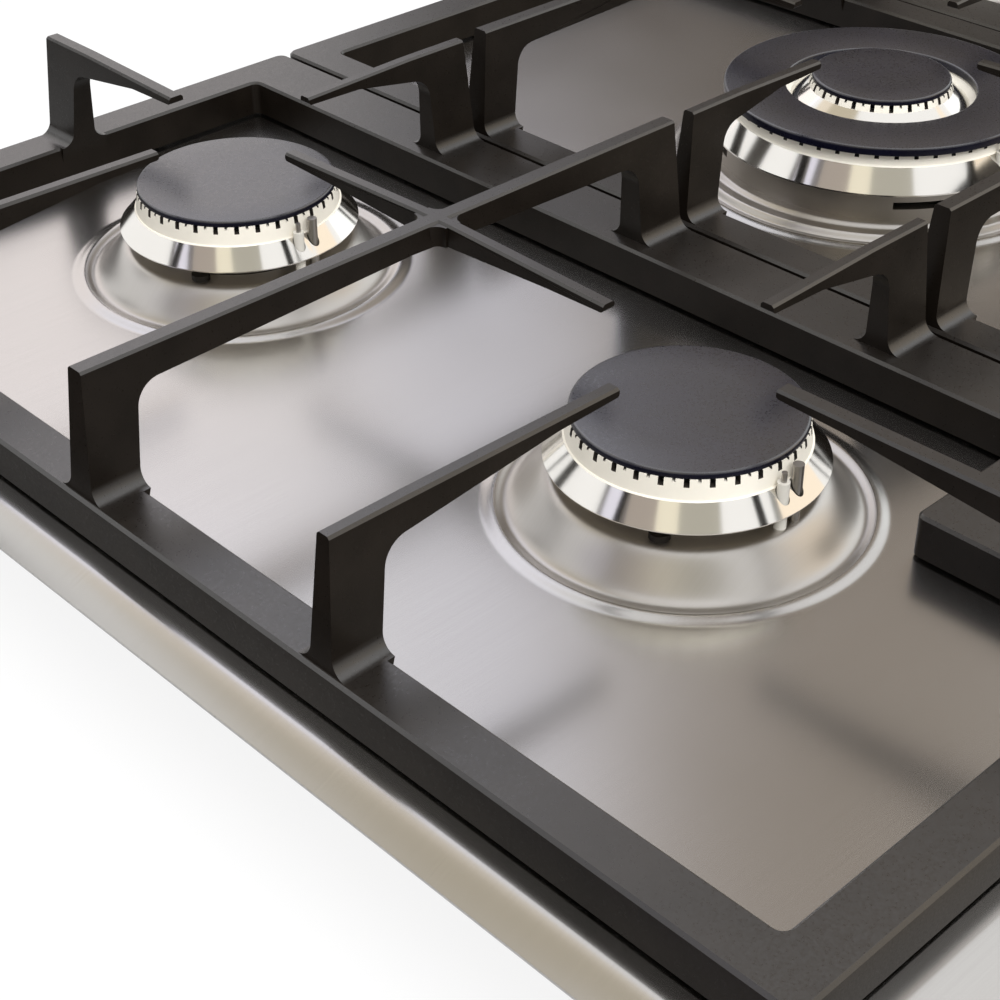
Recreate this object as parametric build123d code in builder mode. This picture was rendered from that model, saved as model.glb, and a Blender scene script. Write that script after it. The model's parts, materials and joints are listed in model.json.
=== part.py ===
from build123d import *
import math
import os

os.makedirs("parts", exist_ok=True)

# ------------------------------------------------------------------ driving sizes, millimetres
# pressed steel top
TOP_WIDTH = 740.0
TOP_DEPTH = 500.0
TOP_CORNER_R = 14.0
SHEET = 1.0
RIM_RISE = 5.0
RIM_RUN_SIDE = 10.3
RIM_RUN_FRONT = 14.3
RIM_CREASE_R = 4.0

# tray under the worktop
TRAY_WIDTH = 556.0
TRAY_LENGTH = 468.0
TRAY_DEPTH = 45.0
TRAY_CORNER_R = 6.0
FLANGE_WIDTH = 12.0
NICHE_WIDTH = 66.0
NICHE_LENGTH = 56.0
NICHE_HEIGHT = 18.0

# grates
GRATE_FROM_SIDE = 16.0
GRATE_FROM_FRONT = 20.0
GRATE_GAP = 2.0
# where the grates meet, as a share of the free deck between the large burner and the widest side burner
GRATE_JOINT_SHARE = 0.6545
FOOT_PAD = 1.0
FOOT_R = 4.5
FOOT_STEM_R = 2.0
FOOT_STEM_LENGTH = 5.0
BAR_HEIGHT = 13.0
BAR_SIDE = 15.3
BAR_INNER = 25.7
BAR_END = 15.8
BAR_CHAMFER = 0.9
BAR_CORNER_R = 4.0
WINDOW_CORNER_R = 3.0
NOTCH_FROM_KNOB = 26.0
NOTCH_BEHIND_KNOB = 17.0
NOTCH_BAR_SIDE = 16.0
NOTCH_BAR_END = 20.0

# posts and fingers, heights counted from the top of the bars
POST_INSET = 1.2
POST_FOOT_WIDTH = 15.8
POST_HEAD_WIDTH = 16.3
INNER_POST_INSET = 0.6
INNER_FOOT_WIDTH = 19.4
INNER_HEAD_WIDTH = 17.5
POST_LEAN = 3.4
POST_ROOT = 6.0
POST_FLARE_R = 5.0
POST_FOOT_HALF = 9.0
FINGER_HALF = 2.2
FRONT_FINGER_HALF = 2.7
BRIDGE_HALF = 3.0
FINGER_RISE = 37.8
BRIDGE_RISE = 38.4
TIP_RISE = 36.7
FINGER_UNDER = 28.0
TAPER_UNDER = 33.6
TIP_UNDER = 34.2
BRIDGE_UNDER = 28.5
BRIDGE_MID_UNDER = 31.2
FINGER_TAPER = 22.0
ARMPIT_R = 8.0
TIP_R = 1.0
FINGER_CHAMFER = 0.7
CROSS_BLEND_R = 4.0
TIP_TO_BURNER = 31.0
TIP_TO_WOK = 41.0

# burners
BURNER_FROM_TRAY_SIDE = 56.6
FRONT_BURNER_FROM_NOTCH = 80.5
REAR_BURNER_FROM_TRAY_BACK = 115.0
WOK_BEHIND_MIDDLE = 0.35
SEMI_CAP_R = 33.3
AUX_CAP_R = 23.0
RAPID_CAP_R = 46.0
CAP_HEIGHT = 2.0
CAP_CHAMFER = 0.7
CAP_RIB_DEPTH = 2.0
CAP_RIB_WIDTH = 2.5
CROWN_CLEARANCE = 0.5
CROWN_HEIGHT = 13.0
SKIRT_HEIGHT = 7.0
SKIRT_OVERHANG = 7.1
SKIRT_LIP = 1.5
BAND_OVERHANG = 1.0
BAND_TAPER = 0.8
BAND_WALL = 2.5
CHAMBER_FLOOR = 5.5
NECK_DEPTH = 8.0
NECK_WALL = 2.0
VENTURI_R = 7.0
VENTURI_WALL = 2.0
VENTURI_LENGTH = 16.0
SLOT_PITCH = 7.0
SLOT_WIDTH = 1.6
SLOT_HEIGHT = 3.9
NICK_WIDTH = 0.9
NICK_HEIGHT = 1.1
CUP_INSET = 3.3
CUP_WALL = 2.0
CUP_RIM_OVER_DOME = 5.5
CUP_DEPTH = 24.0
CUP_FLOOR = 3.0
CUP_FLANGE = 4.0
BOSS_R = 10.0
BOSS_LIP = 1.0
INLET_R = 6.0
DOME_RISE = 10.5
DOME_HOLE_CLEARANCE = 0.8
DOME_SHELF = 0.4
DOME_RUN = 10.0
# the dome's flank bends where it has gone this share of its run and still stands at this share of its rise
DOME_KNEE_RUN = 0.35
DOME_KNEE_RISE = 0.7
BEAD_FROM_SKIRT = 13.6
BEAD_HALF = 2.6
BEAD_RISE = 1.3
BEAD_SHOULDER = 0.8

# large ring burner
WOK_CAP_R = 57.8
WOK_SKIRT_R = 62.0
WOK_BAND_R = 55.4
WOK_RING_INNER_R = 35.0
WOK_CORE_R = 33.0
WOK_CORE_CAP_R = 25.5
WOK_COLLAR_R = 59.0
WOK_COLLAR_WALL = 2.5
WOK_COLLAR_HEIGHT = 10.0
WOK_DOME_RISE = 3.5
WOK_SKIRT_HEIGHT = 10.0
WOK_BAND_HEIGHT = 3.5
WOK_CAP_HEIGHT = 3.0
WOK_CORE_HEIGHT = 5.0
WOK_BEAD_R = 73.5
WOK_STEP_R = 68.6
WOK_STEP_RUN = 1.0
WOK_STEP_SHARE = 0.3
WOK_SHELF_R = 62.7
WOK_HOLE_R = 55.0
AIR_SLOT_WIDTH = 18.0
AIR_SLOT_HEIGHT = 2.7
AIR_SLOTS = 4
AIR_SLOT_ANGLE = 232.0

# electrodes and thermocouples
PROBE_FROM_CAP = 3.2
PROBE_CLEARANCE = 0.25
ELECTRODE_R = 1.75
THERMOCOUPLE_R = 1.6
PROBE_COLLAR_R = 2.6
PROBE_COLLAR_LENGTH = 4.0
PROBE_TAIL = 4.0
ELECTRODE_ANGLE = 265.0
PROBE_SPACING = 5.8
PROBE_TO_CAP = 1.0
PIN_R = 0.8
PIN_LENGTH = 3.0

# taps, spindles and knobs
KNOB_COUNT = 5
KNOB_PITCH = 68.0
KNOB_FROM_TRAY_FRONT = 33.0
KNOB_R = 20.0
KNOB_HEIGHT = 22.0
KNOB_SKIRT = 6.0
KNOB_GRIP_R = 17.0
KNOB_GAP = 3.8
KNOB_WALL = 2.0
KNOB_HUB_R = 6.0
POINTER_WIDTH = 1.4
POINTER_DEPTH = 0.6
SPINDLE_R = 4.0
SPINDLE_FLAT = 2.6
SPINDLE_CLEARANCE = 0.1
SPINDLE_FIT = 0.05
SPINDLE_SHOULDER = 1.0
SEAL_CLEARANCE = 0.3
SEAL_R = 7.5
SEAL_LIP = 1.5
PUSH_TRAVEL = 3.0
TAP_R = 12.0
TAP_FOOT_Z = 14.0
TAP_TOP_Z = 42.0
PLUG_LARGE_R = 8.0
PLUG_SMALL_R = 6.0
PLUG_LENGTH = 22.0
PLUG_CLEARANCE = 0.05
PLUG_SOCKET_DEPTH = 8.0
TAP_OUTLET_LENGTH = 10.0
PORT_R = 2.0

# gas pipes
PIPE_Z = 29.0
PIPE_R = 3.0
PIPE_WALL = 0.8
PIPE_BEND_R = 15.0
PIPE_SOCKET = 8.0
PIPE_FIT = 0.05
MANIFOLD_R = 6.5
MANIFOLD_WALL = 1.5
MANIFOLD_FROM_TAP = 19.0
MANIFOLD_BEND_R = 22.0
INLET_THREAD_R = 10.48
INLET_BORE_R = 5.0
INLET_THREAD_LENGTH = 14.0
INLET_NECK_R = 9.6
INLET_RELIEF = 1.0
INLET_COLLAR_R = 14.0
INLET_COLLAR_LENGTH = 4.0
WASHER_R = 13.0
WASHER_HEIGHT = 1.5
ELBOW_ARM = 22.0
INJECTOR_R = 4.0
INJECTOR_HEX_R = 5.5
INJECTOR_HEX_HEIGHT = 4.0
INJECTOR_THREAD = 8.0
INJECTOR_HOLE_R = 0.6

# small parts
SCREW_R = 1.5
SCREW_HEAD_R = 3.0
SCREW_HEAD_HEIGHT = 2.0
SCREW_CLEARANCE = 0.2
CUP_SCREWS = 3
CUP_SCREW_ANGLE = 90.0
STUD_R = 2.0
STUD_LENGTH = 7.0
STUD_FROM_END = 40.0
NUT_R = 3.8
NUT_HEIGHT = 3.0
SEAL_STRIP_INSET = 2.6
SEAL_STRIP_WIDTH = 5.0
SEAL_STRIP_DROP = 0.4
CLAMP_THICKNESS = 1.5
CLAMP_WIDTH = 22.0
CLAMP_REACH = 24.0
CLAMP_HEIGHT = 26.0
CLAMP_FOOT_Z = 4.0
CLAMP_FROM_MIDDLE = 150.0
CLAMP_SCREW_Z = 20.0
MODULE_WIDTH = 70.0
MODULE_LENGTH = 42.0
MODULE_HEIGHT = 26.0
MODULE_CORNER_R = 3.0
MODULE_X = -40.0
MODULE_FROM_BACK = 13.0
TOWER_COUNT = 5
TOWER_PITCH = 12.0
TOWER_R = 3.5
TOWER_HEIGHT = 6.0
GLAND_X = -200.0
GLAND_Z = 22.0
GLAND_BORE_R = 4.0
GLAND_R = 7.0
GLAND_NUT_R = 10.0
GLAND_NUT_LENGTH = 5.0
GLAND_LENGTH = 8.0

# ------------------------------------------------------------------ levels and places
WORKTOP_Z = TRAY_DEPTH
DECK_Z = WORKTOP_Z + RIM_RISE
UNDER_Z = DECK_Z - SHEET
BAR_FOOT_Z = DECK_Z + FOOT_PAD
BAR_TOP_Z = BAR_FOOT_Z + BAR_HEIGHT
DOME_Z = DECK_Z + DOME_RISE
CUP_UNDER_Z = DOME_Z - SHEET - CUP_FLANGE
SEAT_Z = DOME_Z + CUP_RIM_OVER_DOME
SKIRT_TOP_Z = SEAT_Z + SKIRT_HEIGHT
BAND_TOP_Z = SEAT_Z + CROWN_HEIGHT
CHAMBER_Z = SEAT_Z + CHAMBER_FLOOR
CUP_FLOOR_Z = SEAT_Z - CUP_DEPTH
WOK_SHELF_Z = DECK_Z + WOK_DOME_RISE
WOK_SEAT_Z = WOK_SHELF_Z + WOK_COLLAR_HEIGHT
WOK_SKIRT_TOP_Z = WOK_SEAT_Z + WOK_SKIRT_HEIGHT
WOK_BAND_TOP_Z = WOK_SKIRT_TOP_Z + WOK_BAND_HEIGHT
KNOB_FOOT_Z = DECK_Z + KNOB_GAP
PLUG_TOP_Z = TAP_TOP_Z - SPINDLE_SHOULDER
PLUG_FOOT_Z = PLUG_TOP_Z - PLUG_LENGTH

KNOB_Y = -TRAY_LENGTH / 2 + KNOB_FROM_TRAY_FRONT
KNOB_XS = [(i - (KNOB_COUNT - 1) / 2) * KNOB_PITCH for i in range(KNOB_COUNT)]
NOTCH_X = KNOB_XS[0] - KNOB_R - NOTCH_FROM_KNOB
NOTCH_Y = KNOB_Y + KNOB_R + NOTCH_BEHIND_KNOB
BURNER_X = -TRAY_WIDTH / 2 + BURNER_FROM_TRAY_SIDE
FRONT_BURNER_Y = NOTCH_Y + FRONT_BURNER_FROM_NOTCH
REAR_BURNER_Y = TRAY_LENGTH / 2 - REAR_BURNER_FROM_TRAY_BACK
WOK_Y = (FRONT_BURNER_Y + REAR_BURNER_Y) / 2 + WOK_BEHIND_MIDDLE

# the grates follow the top's edges outside and the burners' rings between them
GRATE_FRONT_Y = -TOP_DEPTH / 2 + GRATE_FROM_FRONT
GRATE_BACK_Y = -GRATE_FRONT_Y
SIDE_X = -TOP_WIDTH / 2 + GRATE_FROM_SIDE
wok_limit = WOK_BEAD_R + BEAD_HALF + BAR_SIDE
side_limit = -BURNER_X - RAPID_CAP_R - SKIRT_OVERHANG - BEAD_FROM_SKIRT - BEAD_HALF - BAR_INNER - GRATE_GAP
HALF_CENTRE = wok_limit + GRATE_JOINT_SHARE * (side_limit - wok_limit)
SIDE_RIGHT = -HALF_CENTRE - GRATE_GAP

BURNERS = {
    "front_left": (BURNER_X, FRONT_BURNER_Y, SEMI_CAP_R),
    "rear_left": (BURNER_X, REAR_BURNER_Y, SEMI_CAP_R),
    "rear_right": (-BURNER_X, REAR_BURNER_Y, RAPID_CAP_R),
    "front_right": (-BURNER_X, FRONT_BURNER_Y, AUX_CAP_R),
}
WOK_PROBE_R = WOK_BAND_R + PROBE_FROM_CAP - BAND_OVERHANG


# ------------------------------------------------------------------ helpers
def upright(x, y):
    """The vertical plane through x, y that faces the front: radius across, height up."""
    return Plane(origin=(x, y, 0), x_dir=(1, 0, 0), z_dir=(0, -1, 0))


def turned(x, y, *outline, mode=Mode.ADD):
    """Adds an outline of (radius, height) points, turned about the vertical through x, y."""
    with BuildSketch(upright(x, y)) as half_section:
        with BuildLine():
            Polyline(*outline, close=True)
        make_face()
    revolve(half_section.sketch, axis=Axis((x, y, 0), (0, 0, 1)), mode=mode)


def disc(x, y, r, low, high, mode=Mode.ADD):
    """An upright round bar or, subtracted, a hole."""
    with BuildSketch(Plane.XY.offset(low)) as round_face:
        with Locations((x, y)):
            Circle(r)
    extrude(round_face.sketch, amount=high - low, mode=mode)


def level_bar(x, from_y, to_y, r, mode=Mode.ADD):
    """A round bar or hole that runs along Y at the height of the pipes."""
    with BuildSketch(Plane.XZ.offset(-from_y)) as round_face:
        with Locations((x, PIPE_Z)):
            Circle(r)
    extrude(round_face.sketch, amount=from_y - to_y, mode=mode)


def polar(x, y, r, degrees):
    """The point at a radius and an angle from x, y."""
    angle = math.radians(degrees)
    return x + r * math.cos(angle), y + r * math.sin(angle)


def probe_pair(x, y, r):
    """Where the electrode and the thermocouple stand, side by side at radius r of a burner."""
    step = math.degrees(PROBE_SPACING / r)
    return polar(x, y, r, ELECTRODE_ANGLE), polar(x, y, r, ELECTRODE_ANGLE + step)


def screw_places(x, y, cap_r):
    """The screws that hold a cup to its dome, evenly round it."""
    angles = [CUP_SCREW_ANGLE + 360 / CUP_SCREWS * i for i in range(CUP_SCREWS)]
    return [polar(x, y, cap_r + BAND_OVERHANG, angle) for angle in angles]


def save(piece, name):
    piece.part.label = name
    export_step(piece.part, f"parts/{name}.step")


# ------------------------------------------------------------------ pressed steel top
def pressed_dome(x, y, hole_r, shelf_r, rise, run, bead_r):
    """A ring of the deck drawn up round a burner, with a bead pressed round it."""
    edge_r = bead_r + 2 * BEAD_HALF
    disc(x, y, edge_r, UNDER_Z, DECK_Z, mode=Mode.SUBTRACT)
    turned(
        x, y,
        (hole_r, DECK_Z + rise),
        (shelf_r, DECK_Z + rise),
        (shelf_r + run * DOME_KNEE_RUN, DECK_Z + rise * DOME_KNEE_RISE),
        (shelf_r + run, DECK_Z),
        (bead_r - BEAD_HALF, DECK_Z),
        (bead_r - BEAD_HALF / 2, DECK_Z + BEAD_RISE * BEAD_SHOULDER),
        (bead_r, DECK_Z + BEAD_RISE),
        (bead_r + BEAD_HALF / 2, DECK_Z + BEAD_RISE * BEAD_SHOULDER),
        (bead_r + BEAD_HALF, DECK_Z),
        (edge_r, DECK_Z),
        (edge_r, UNDER_Z),
        (shelf_r + run - SHEET / 2, UNDER_Z),
        (shelf_r - SHEET / 2, UNDER_Z + rise),
        (hole_r, UNDER_Z + rise),
    )


with BuildPart() as top_plate:
    with BuildSketch(Plane.XY.offset(WORKTOP_Z)):
        RectangleRounded(TOP_WIDTH, TOP_DEPTH, TOP_CORNER_R)
    with BuildSketch(Plane.XY.offset(DECK_Z)):
        RectangleRounded(TOP_WIDTH - 2 * RIM_RUN_SIDE, TOP_DEPTH - 2 * RIM_RUN_FRONT, TOP_CORNER_R)
    loft()
    fillet(faces().sort_by(Axis.Z)[-1].edges(), RIM_CREASE_R)
    with BuildSketch(Plane.XY.offset(WORKTOP_Z)):
        RectangleRounded(
            TOP_WIDTH - 2 * SHEET * RIM_RUN_SIDE / RIM_RISE,
            TOP_DEPTH - 2 * SHEET * RIM_RUN_FRONT / RIM_RISE,
            TOP_CORNER_R - SHEET,
        )
    with BuildSketch(Plane.XY.offset(UNDER_Z)):
        RectangleRounded(TOP_WIDTH - 2 * RIM_RUN_SIDE, TOP_DEPTH - 2 * RIM_RUN_FRONT, TOP_CORNER_R - SHEET)
    loft(mode=Mode.SUBTRACT)
    for x, y, cap_r in BURNERS.values():
        skirt_r = cap_r + SKIRT_OVERHANG
        pressed_dome(
            x, y,
            cap_r - CUP_INSET + DOME_HOLE_CLEARANCE,
            skirt_r - DOME_SHELF,
            DOME_RISE, DOME_RUN,
            skirt_r + BEAD_FROM_SKIRT,
        )
        for hole in screw_places(x, y, cap_r):
            disc(*hole, SCREW_R + SCREW_CLEARANCE, UNDER_Z, DOME_Z, mode=Mode.SUBTRACT)
        for hole in probe_pair(x, y, cap_r + PROBE_FROM_CAP):
            disc(*hole, ELECTRODE_R + PROBE_CLEARANCE, UNDER_Z, DOME_Z, mode=Mode.SUBTRACT)
    # the large burner's ring: two flat steps up to a shelf, with a wider bead outside
    wok_edge_r = WOK_BEAD_R + 2 * BEAD_HALF
    disc(0, WOK_Y, wok_edge_r, UNDER_Z, DECK_Z, mode=Mode.SUBTRACT)
    turned(
        0, WOK_Y,
        (WOK_HOLE_R, WOK_SHELF_Z),
        (WOK_SHELF_R, WOK_SHELF_Z),
        (WOK_SHELF_R + WOK_STEP_RUN, WOK_SHELF_Z - WOK_DOME_RISE / 2),
        (WOK_STEP_R, DECK_Z + WOK_DOME_RISE * WOK_STEP_SHARE),
        (WOK_STEP_R + WOK_STEP_RUN, DECK_Z),
        (WOK_BEAD_R - BEAD_HALF, DECK_Z),
        (WOK_BEAD_R - BEAD_HALF / 2, DECK_Z + BEAD_RISE * BEAD_SHOULDER),
        (WOK_BEAD_R, DECK_Z + BEAD_RISE),
        (WOK_BEAD_R + BEAD_HALF / 2, DECK_Z + BEAD_RISE * BEAD_SHOULDER),
        (WOK_BEAD_R + BEAD_HALF, DECK_Z),
        (wok_edge_r, DECK_Z),
        (wok_edge_r, UNDER_Z),
        (WOK_STEP_R, UNDER_Z),
        (WOK_SHELF_R - SHEET / 2, WOK_SHELF_Z - SHEET),
        (WOK_HOLE_R, WOK_SHELF_Z - SHEET),
    )
    for hole in probe_pair(0, WOK_Y, WOK_PROBE_R):
        disc(*hole, ELECTRODE_R + PROBE_CLEARANCE, UNDER_Z, WOK_SHELF_Z, mode=Mode.SUBTRACT)
    for x in KNOB_XS:
        disc(x, KNOB_Y, SEAL_R, UNDER_Z, DECK_Z, mode=Mode.SUBTRACT)
    # threaded studs that carry the tray
    stud_x = TRAY_WIDTH / 2 - FLANGE_WIDTH / 2
    stud_y = TRAY_LENGTH / 2 - STUD_FROM_END
    STUDS = [(sx * stud_x, sy * stud_y) for sx in (-1, 1) for sy in (-1, 0, 1)]
    for x, y in STUDS:
        disc(x, y, STUD_R, UNDER_Z - STUD_LENGTH, UNDER_Z)
save(top_plate, "top_plate")

# ------------------------------------------------------------------ tray
niche_x = TRAY_WIDTH / 2 - NICHE_WIDTH
niche_y = TRAY_LENGTH / 2 - NICHE_LENGTH
INLET_X = niche_x + NICHE_WIDTH / 2
INLET_Y = niche_y + NICHE_LENGTH / 2
GLAND_Y = TRAY_LENGTH / 2
with BuildPart() as bottom_tray:
    with BuildSketch():
        RectangleRounded(TRAY_WIDTH, TRAY_LENGTH, TRAY_CORNER_R)
    extrude(amount=UNDER_Z)
    with BuildSketch():
        with Locations((niche_x, niche_y)):
            Rectangle(NICHE_WIDTH, NICHE_LENGTH, align=(Align.MIN, Align.MIN))
    extrude(amount=NICHE_HEIGHT, mode=Mode.SUBTRACT)
    offset(amount=-SHEET, openings=faces().sort_by(Axis.Z)[-1])
    # flange turned inwards under the deck, with holes for the studs
    with BuildSketch(Plane.XY.offset(UNDER_Z - SHEET)):
        RectangleRounded(TRAY_WIDTH, TRAY_LENGTH, TRAY_CORNER_R)
        RectangleRounded(
            TRAY_WIDTH - 2 * FLANGE_WIDTH, TRAY_LENGTH - 2 * FLANGE_WIDTH, TRAY_CORNER_R, mode=Mode.SUBTRACT
        )
    extrude(amount=SHEET)
    for x, y in STUDS:
        disc(x, y, STUD_R + SCREW_CLEARANCE, UNDER_Z - SHEET, UNDER_Z, mode=Mode.SUBTRACT)
    disc(INLET_X, INLET_Y, INLET_THREAD_R + SCREW_CLEARANCE, 0, NICHE_HEIGHT + SHEET, mode=Mode.SUBTRACT)
    with BuildSketch(Plane.XZ.offset(-GLAND_Y)):
        with Locations((GLAND_X, GLAND_Z)):
            Circle(GLAND_R)
    extrude(amount=2 * SHEET, both=True, mode=Mode.SUBTRACT)
    for side in (-1, 1):
        with BuildSketch(Plane.YZ.offset(side * TRAY_WIDTH / 2)):
            with Locations((-CLAMP_FROM_MIDDLE, CLAMP_SCREW_Z), (CLAMP_FROM_MIDDLE, CLAMP_SCREW_Z)):
                Circle(SCREW_R + SCREW_CLEARANCE)
        extrude(amount=2 * SHEET, both=True, mode=Mode.SUBTRACT)
save(bottom_tray, "bottom_tray")

with BuildPart() as tray_nuts:
    with BuildSketch(Plane.XY.offset(UNDER_Z - SHEET - NUT_HEIGHT)):
        with Locations(*STUDS):
            RegularPolygon(NUT_R, 6)
            Circle(STUD_R, mode=Mode.SUBTRACT)
    extrude(amount=NUT_HEIGHT)
save(tray_nuts, "tray_nuts")

seal_width = TOP_WIDTH - 2 * SHEET * RIM_RUN_SIDE / RIM_RISE - 2 * SEAL_STRIP_INSET
seal_depth = TOP_DEPTH - 2 * SHEET * RIM_RUN_FRONT / RIM_RISE - 2 * SEAL_STRIP_INSET
with BuildPart() as worktop_seal:
    with BuildSketch(Plane.XY.offset(WORKTOP_Z - SEAL_STRIP_DROP)):
        RectangleRounded(seal_width, seal_depth, TOP_CORNER_R)
        RectangleRounded(
            seal_width - 2 * SEAL_STRIP_WIDTH,
            seal_depth - 2 * SEAL_STRIP_WIDTH,
            TOP_CORNER_R - SEAL_STRIP_WIDTH,
            mode=Mode.SUBTRACT,
        )
    extrude(amount=SEAL_STRIP_DROP + SEAL_STRIP_INSET * RIM_RISE / RIM_RUN_FRONT - SEAL_CLEARANCE)
save(worktop_seal, "worktop_seal")


# ------------------------------------------------------------------ grates
def arm_plane(x, y, dx, dy):
    """Upright plane whose first axis runs inwards over the window, starting at the bar's outer edge."""
    return Plane(origin=(x, y, BAR_TOP_Z), x_dir=(dx, dy, 0), z_dir=(dy, -dx, 0))


def flared(plane, reach, half, top):
    """Keeps what lies inside the post's front outline: narrow at the top, flared where it meets the bar."""
    half_foot = half + (POST_FOOT_HALF - POST_FLARE_R - FINGER_HALF)
    across = Plane(origin=plane.origin, x_dir=-plane.z_dir, z_dir=plane.x_dir)
    with BuildSketch(across) as front:
        with BuildLine():
            Line((0, -POST_ROOT), (half_foot + POST_FLARE_R, -POST_ROOT))
            Line((half_foot + POST_FLARE_R, -POST_ROOT), (half_foot + POST_FLARE_R, 0))
            RadiusArc((half_foot + POST_FLARE_R, 0), (half_foot, POST_FLARE_R), POST_FLARE_R)
            Line((half_foot, POST_FLARE_R), (half, top))
            Line((half, top), (0, top))
            mirror(about=Plane.YZ)
        make_face()
    extrude(front.sketch, amount=reach + POST_ROOT, both=True, mode=Mode.INTERSECT)
    chamfer(edges().sort_by(Edge.length)[-4:].sort_by(Axis.Z)[-2:], FINGER_CHAMFER)


def round_at(sketch, point, radius):
    """Rounds the corner of the sketch that lies nearest to a point of its own plane."""
    fillet(sketch.vertices().sort_by_distance(point)[0], radius)


def arm(plane, bar, reach, half=FINGER_HALF, inset=POST_INSET, foot=POST_FOOT_WIDTH, head=POST_HEAD_WIDTH):
    """A leaning post with one finger that tapers to its tip."""
    head_in = inset + POST_LEAN + head
    with BuildPart() as piece:
        with BuildSketch(plane) as side:
            with BuildLine():
                Polyline(
                    (inset, -POST_ROOT),
                    (inset, 0),
                    (inset + POST_LEAN, FINGER_RISE),
                    (head_in + ARMPIT_R, FINGER_RISE),
                    (reach, TIP_RISE),
                    (reach, TIP_UNDER),
                    (reach - FINGER_TAPER, TAPER_UNDER),
                    (head_in, FINGER_UNDER),
                    (inset + foot, 0),
                    (min(bar, inset + foot), -POST_ROOT),
                    close=True,
                )
            make_face()
            round_at(side, (head_in, FINGER_UNDER), ARMPIT_R)
            round_at(side, (reach, TIP_UNDER), TIP_R)
        extrude(amount=POST_FOOT_HALF + POST_FLARE_R, both=True)
        flared(plane, reach, half, FINGER_RISE)
    return piece.part


def bridge(plane, span, left, right):
    """A bar that crosses the whole grate at pan height, carried by a post at each end.

    left and right are each post's bar width, inset, foot width and head width."""
    bar, inset, foot, head = left
    far_bar, far_inset, far_foot, far_head = right
    left_head = inset + POST_LEAN + head
    right_head = span - far_inset - POST_LEAN - far_head
    with BuildPart() as piece:
        with BuildSketch(plane) as side:
            with BuildLine():
                Polyline(
                    (inset, -POST_ROOT),
                    (inset, 0),
                    (inset + POST_LEAN, BRIDGE_RISE),
                    (span - far_inset - POST_LEAN, BRIDGE_RISE),
                    (span - far_inset, 0),
                    (span - far_inset, -POST_ROOT),
                    (span - min(far_bar, far_inset + far_foot), -POST_ROOT),
                    (span - far_inset - far_foot, 0),
                    (right_head, BRIDGE_UNDER),
                    ((left_head + right_head) / 2, BRIDGE_MID_UNDER),
                    (left_head, BRIDGE_UNDER),
                    (inset + foot, 0),
                    (min(bar, inset + foot), -POST_ROOT),
                    close=True,
                )
            make_face()
            round_at(side, (left_head, BRIDGE_UNDER), ARMPIT_R)
            round_at(side, (right_head, BRIDGE_UNDER), ARMPIT_R)
        extrude(amount=POST_FOOT_HALF + POST_FLARE_R, both=True)
        flared(plane, span, BRIDGE_HALF, BRIDGE_RISE)
    return piece.part


def branch(plane, reach):
    """A finger that leaves a bridge at right angles; the plane starts at the bridge's middle."""
    with BuildPart() as piece:
        with BuildSketch(plane) as side:
            with BuildLine():
                Polyline(
                    (0, BRIDGE_MID_UNDER),
                    (0, BRIDGE_RISE),
                    (CROSS_BLEND_R * 2, BRIDGE_RISE),
                    (reach, TIP_RISE),
                    (reach, TIP_UNDER),
                    (reach - FINGER_TAPER, TAPER_UNDER),
                    close=True,
                )
            make_face()
            round_at(side, (reach, TIP_UNDER), TIP_R)
        extrude(amount=POST_FOOT_HALF, both=True)
        flared(plane, reach, FINGER_HALF, BRIDGE_RISE)
    return piece.part


def cross_blend(x, y):
    """The small rounded web in the corners where a branch leaves its bridge."""
    width = 2 * (BRIDGE_HALF + CROSS_BLEND_R)
    with BuildPart() as piece:
        with BuildSketch(Plane.XY.offset(BAR_TOP_Z + BRIDGE_MID_UNDER)):
            with Locations((x, y)):
                Rectangle(width, width)
                with GridLocations(width, width, 2, 2):
                    Circle(CROSS_BLEND_R, mode=Mode.SUBTRACT)
        extrude(amount=BRIDGE_RISE - BRIDGE_MID_UNDER - FINGER_CHAMFER)
    return piece.part


def bars(outer, window):
    """The frame: an outline of straight bars round a window, chamfered along its upper edges."""
    with BuildSketch(Plane.XY.offset(BAR_FOOT_Z)) as ring:
        with BuildLine():
            Polyline(*outer, close=True)
        make_face()
        fillet(ring.vertices(), BAR_CORNER_R)
    extrude(ring.sketch, amount=BAR_HEIGHT)
    with BuildSketch(Plane.XY.offset(BAR_FOOT_Z)) as hollow:
        with BuildLine():
            Polyline(*window, close=True)
        make_face()
        fillet(hollow.vertices(), WINDOW_CORNER_R)
    extrude(hollow.sketch, amount=BAR_HEIGHT, mode=Mode.SUBTRACT)
    chamfer(faces().sort_by(Axis.Z)[-1].edges(), BAR_CHAMFER)


def foot_holes(places):
    for x, y in places:
        top = BAR_FOOT_Z + FOOT_STEM_LENGTH + SCREW_CLEARANCE
        disc(x, y, FOOT_STEM_R + SCREW_CLEARANCE / 2, BAR_FOOT_Z, top, mode=Mode.SUBTRACT)


def feet(places):
    """Rubber pads whose stems are pushed into the bars."""
    with BuildPart() as pads:
        for x, y in places:
            disc(x, y, FOOT_R, DECK_Z, BAR_FOOT_Z)
            disc(x, y, FOOT_STEM_R, BAR_FOOT_Z, BAR_FOOT_Z + FOOT_STEM_LENGTH)
    return pads


OUTER_POST = (BAR_SIDE, POST_INSET, POST_FOOT_WIDTH, POST_HEAD_WIDTH)
INNER_POST = (BAR_INNER, INNER_POST_INSET, INNER_FOOT_WIDTH, INNER_HEAD_WIDTH)

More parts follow.
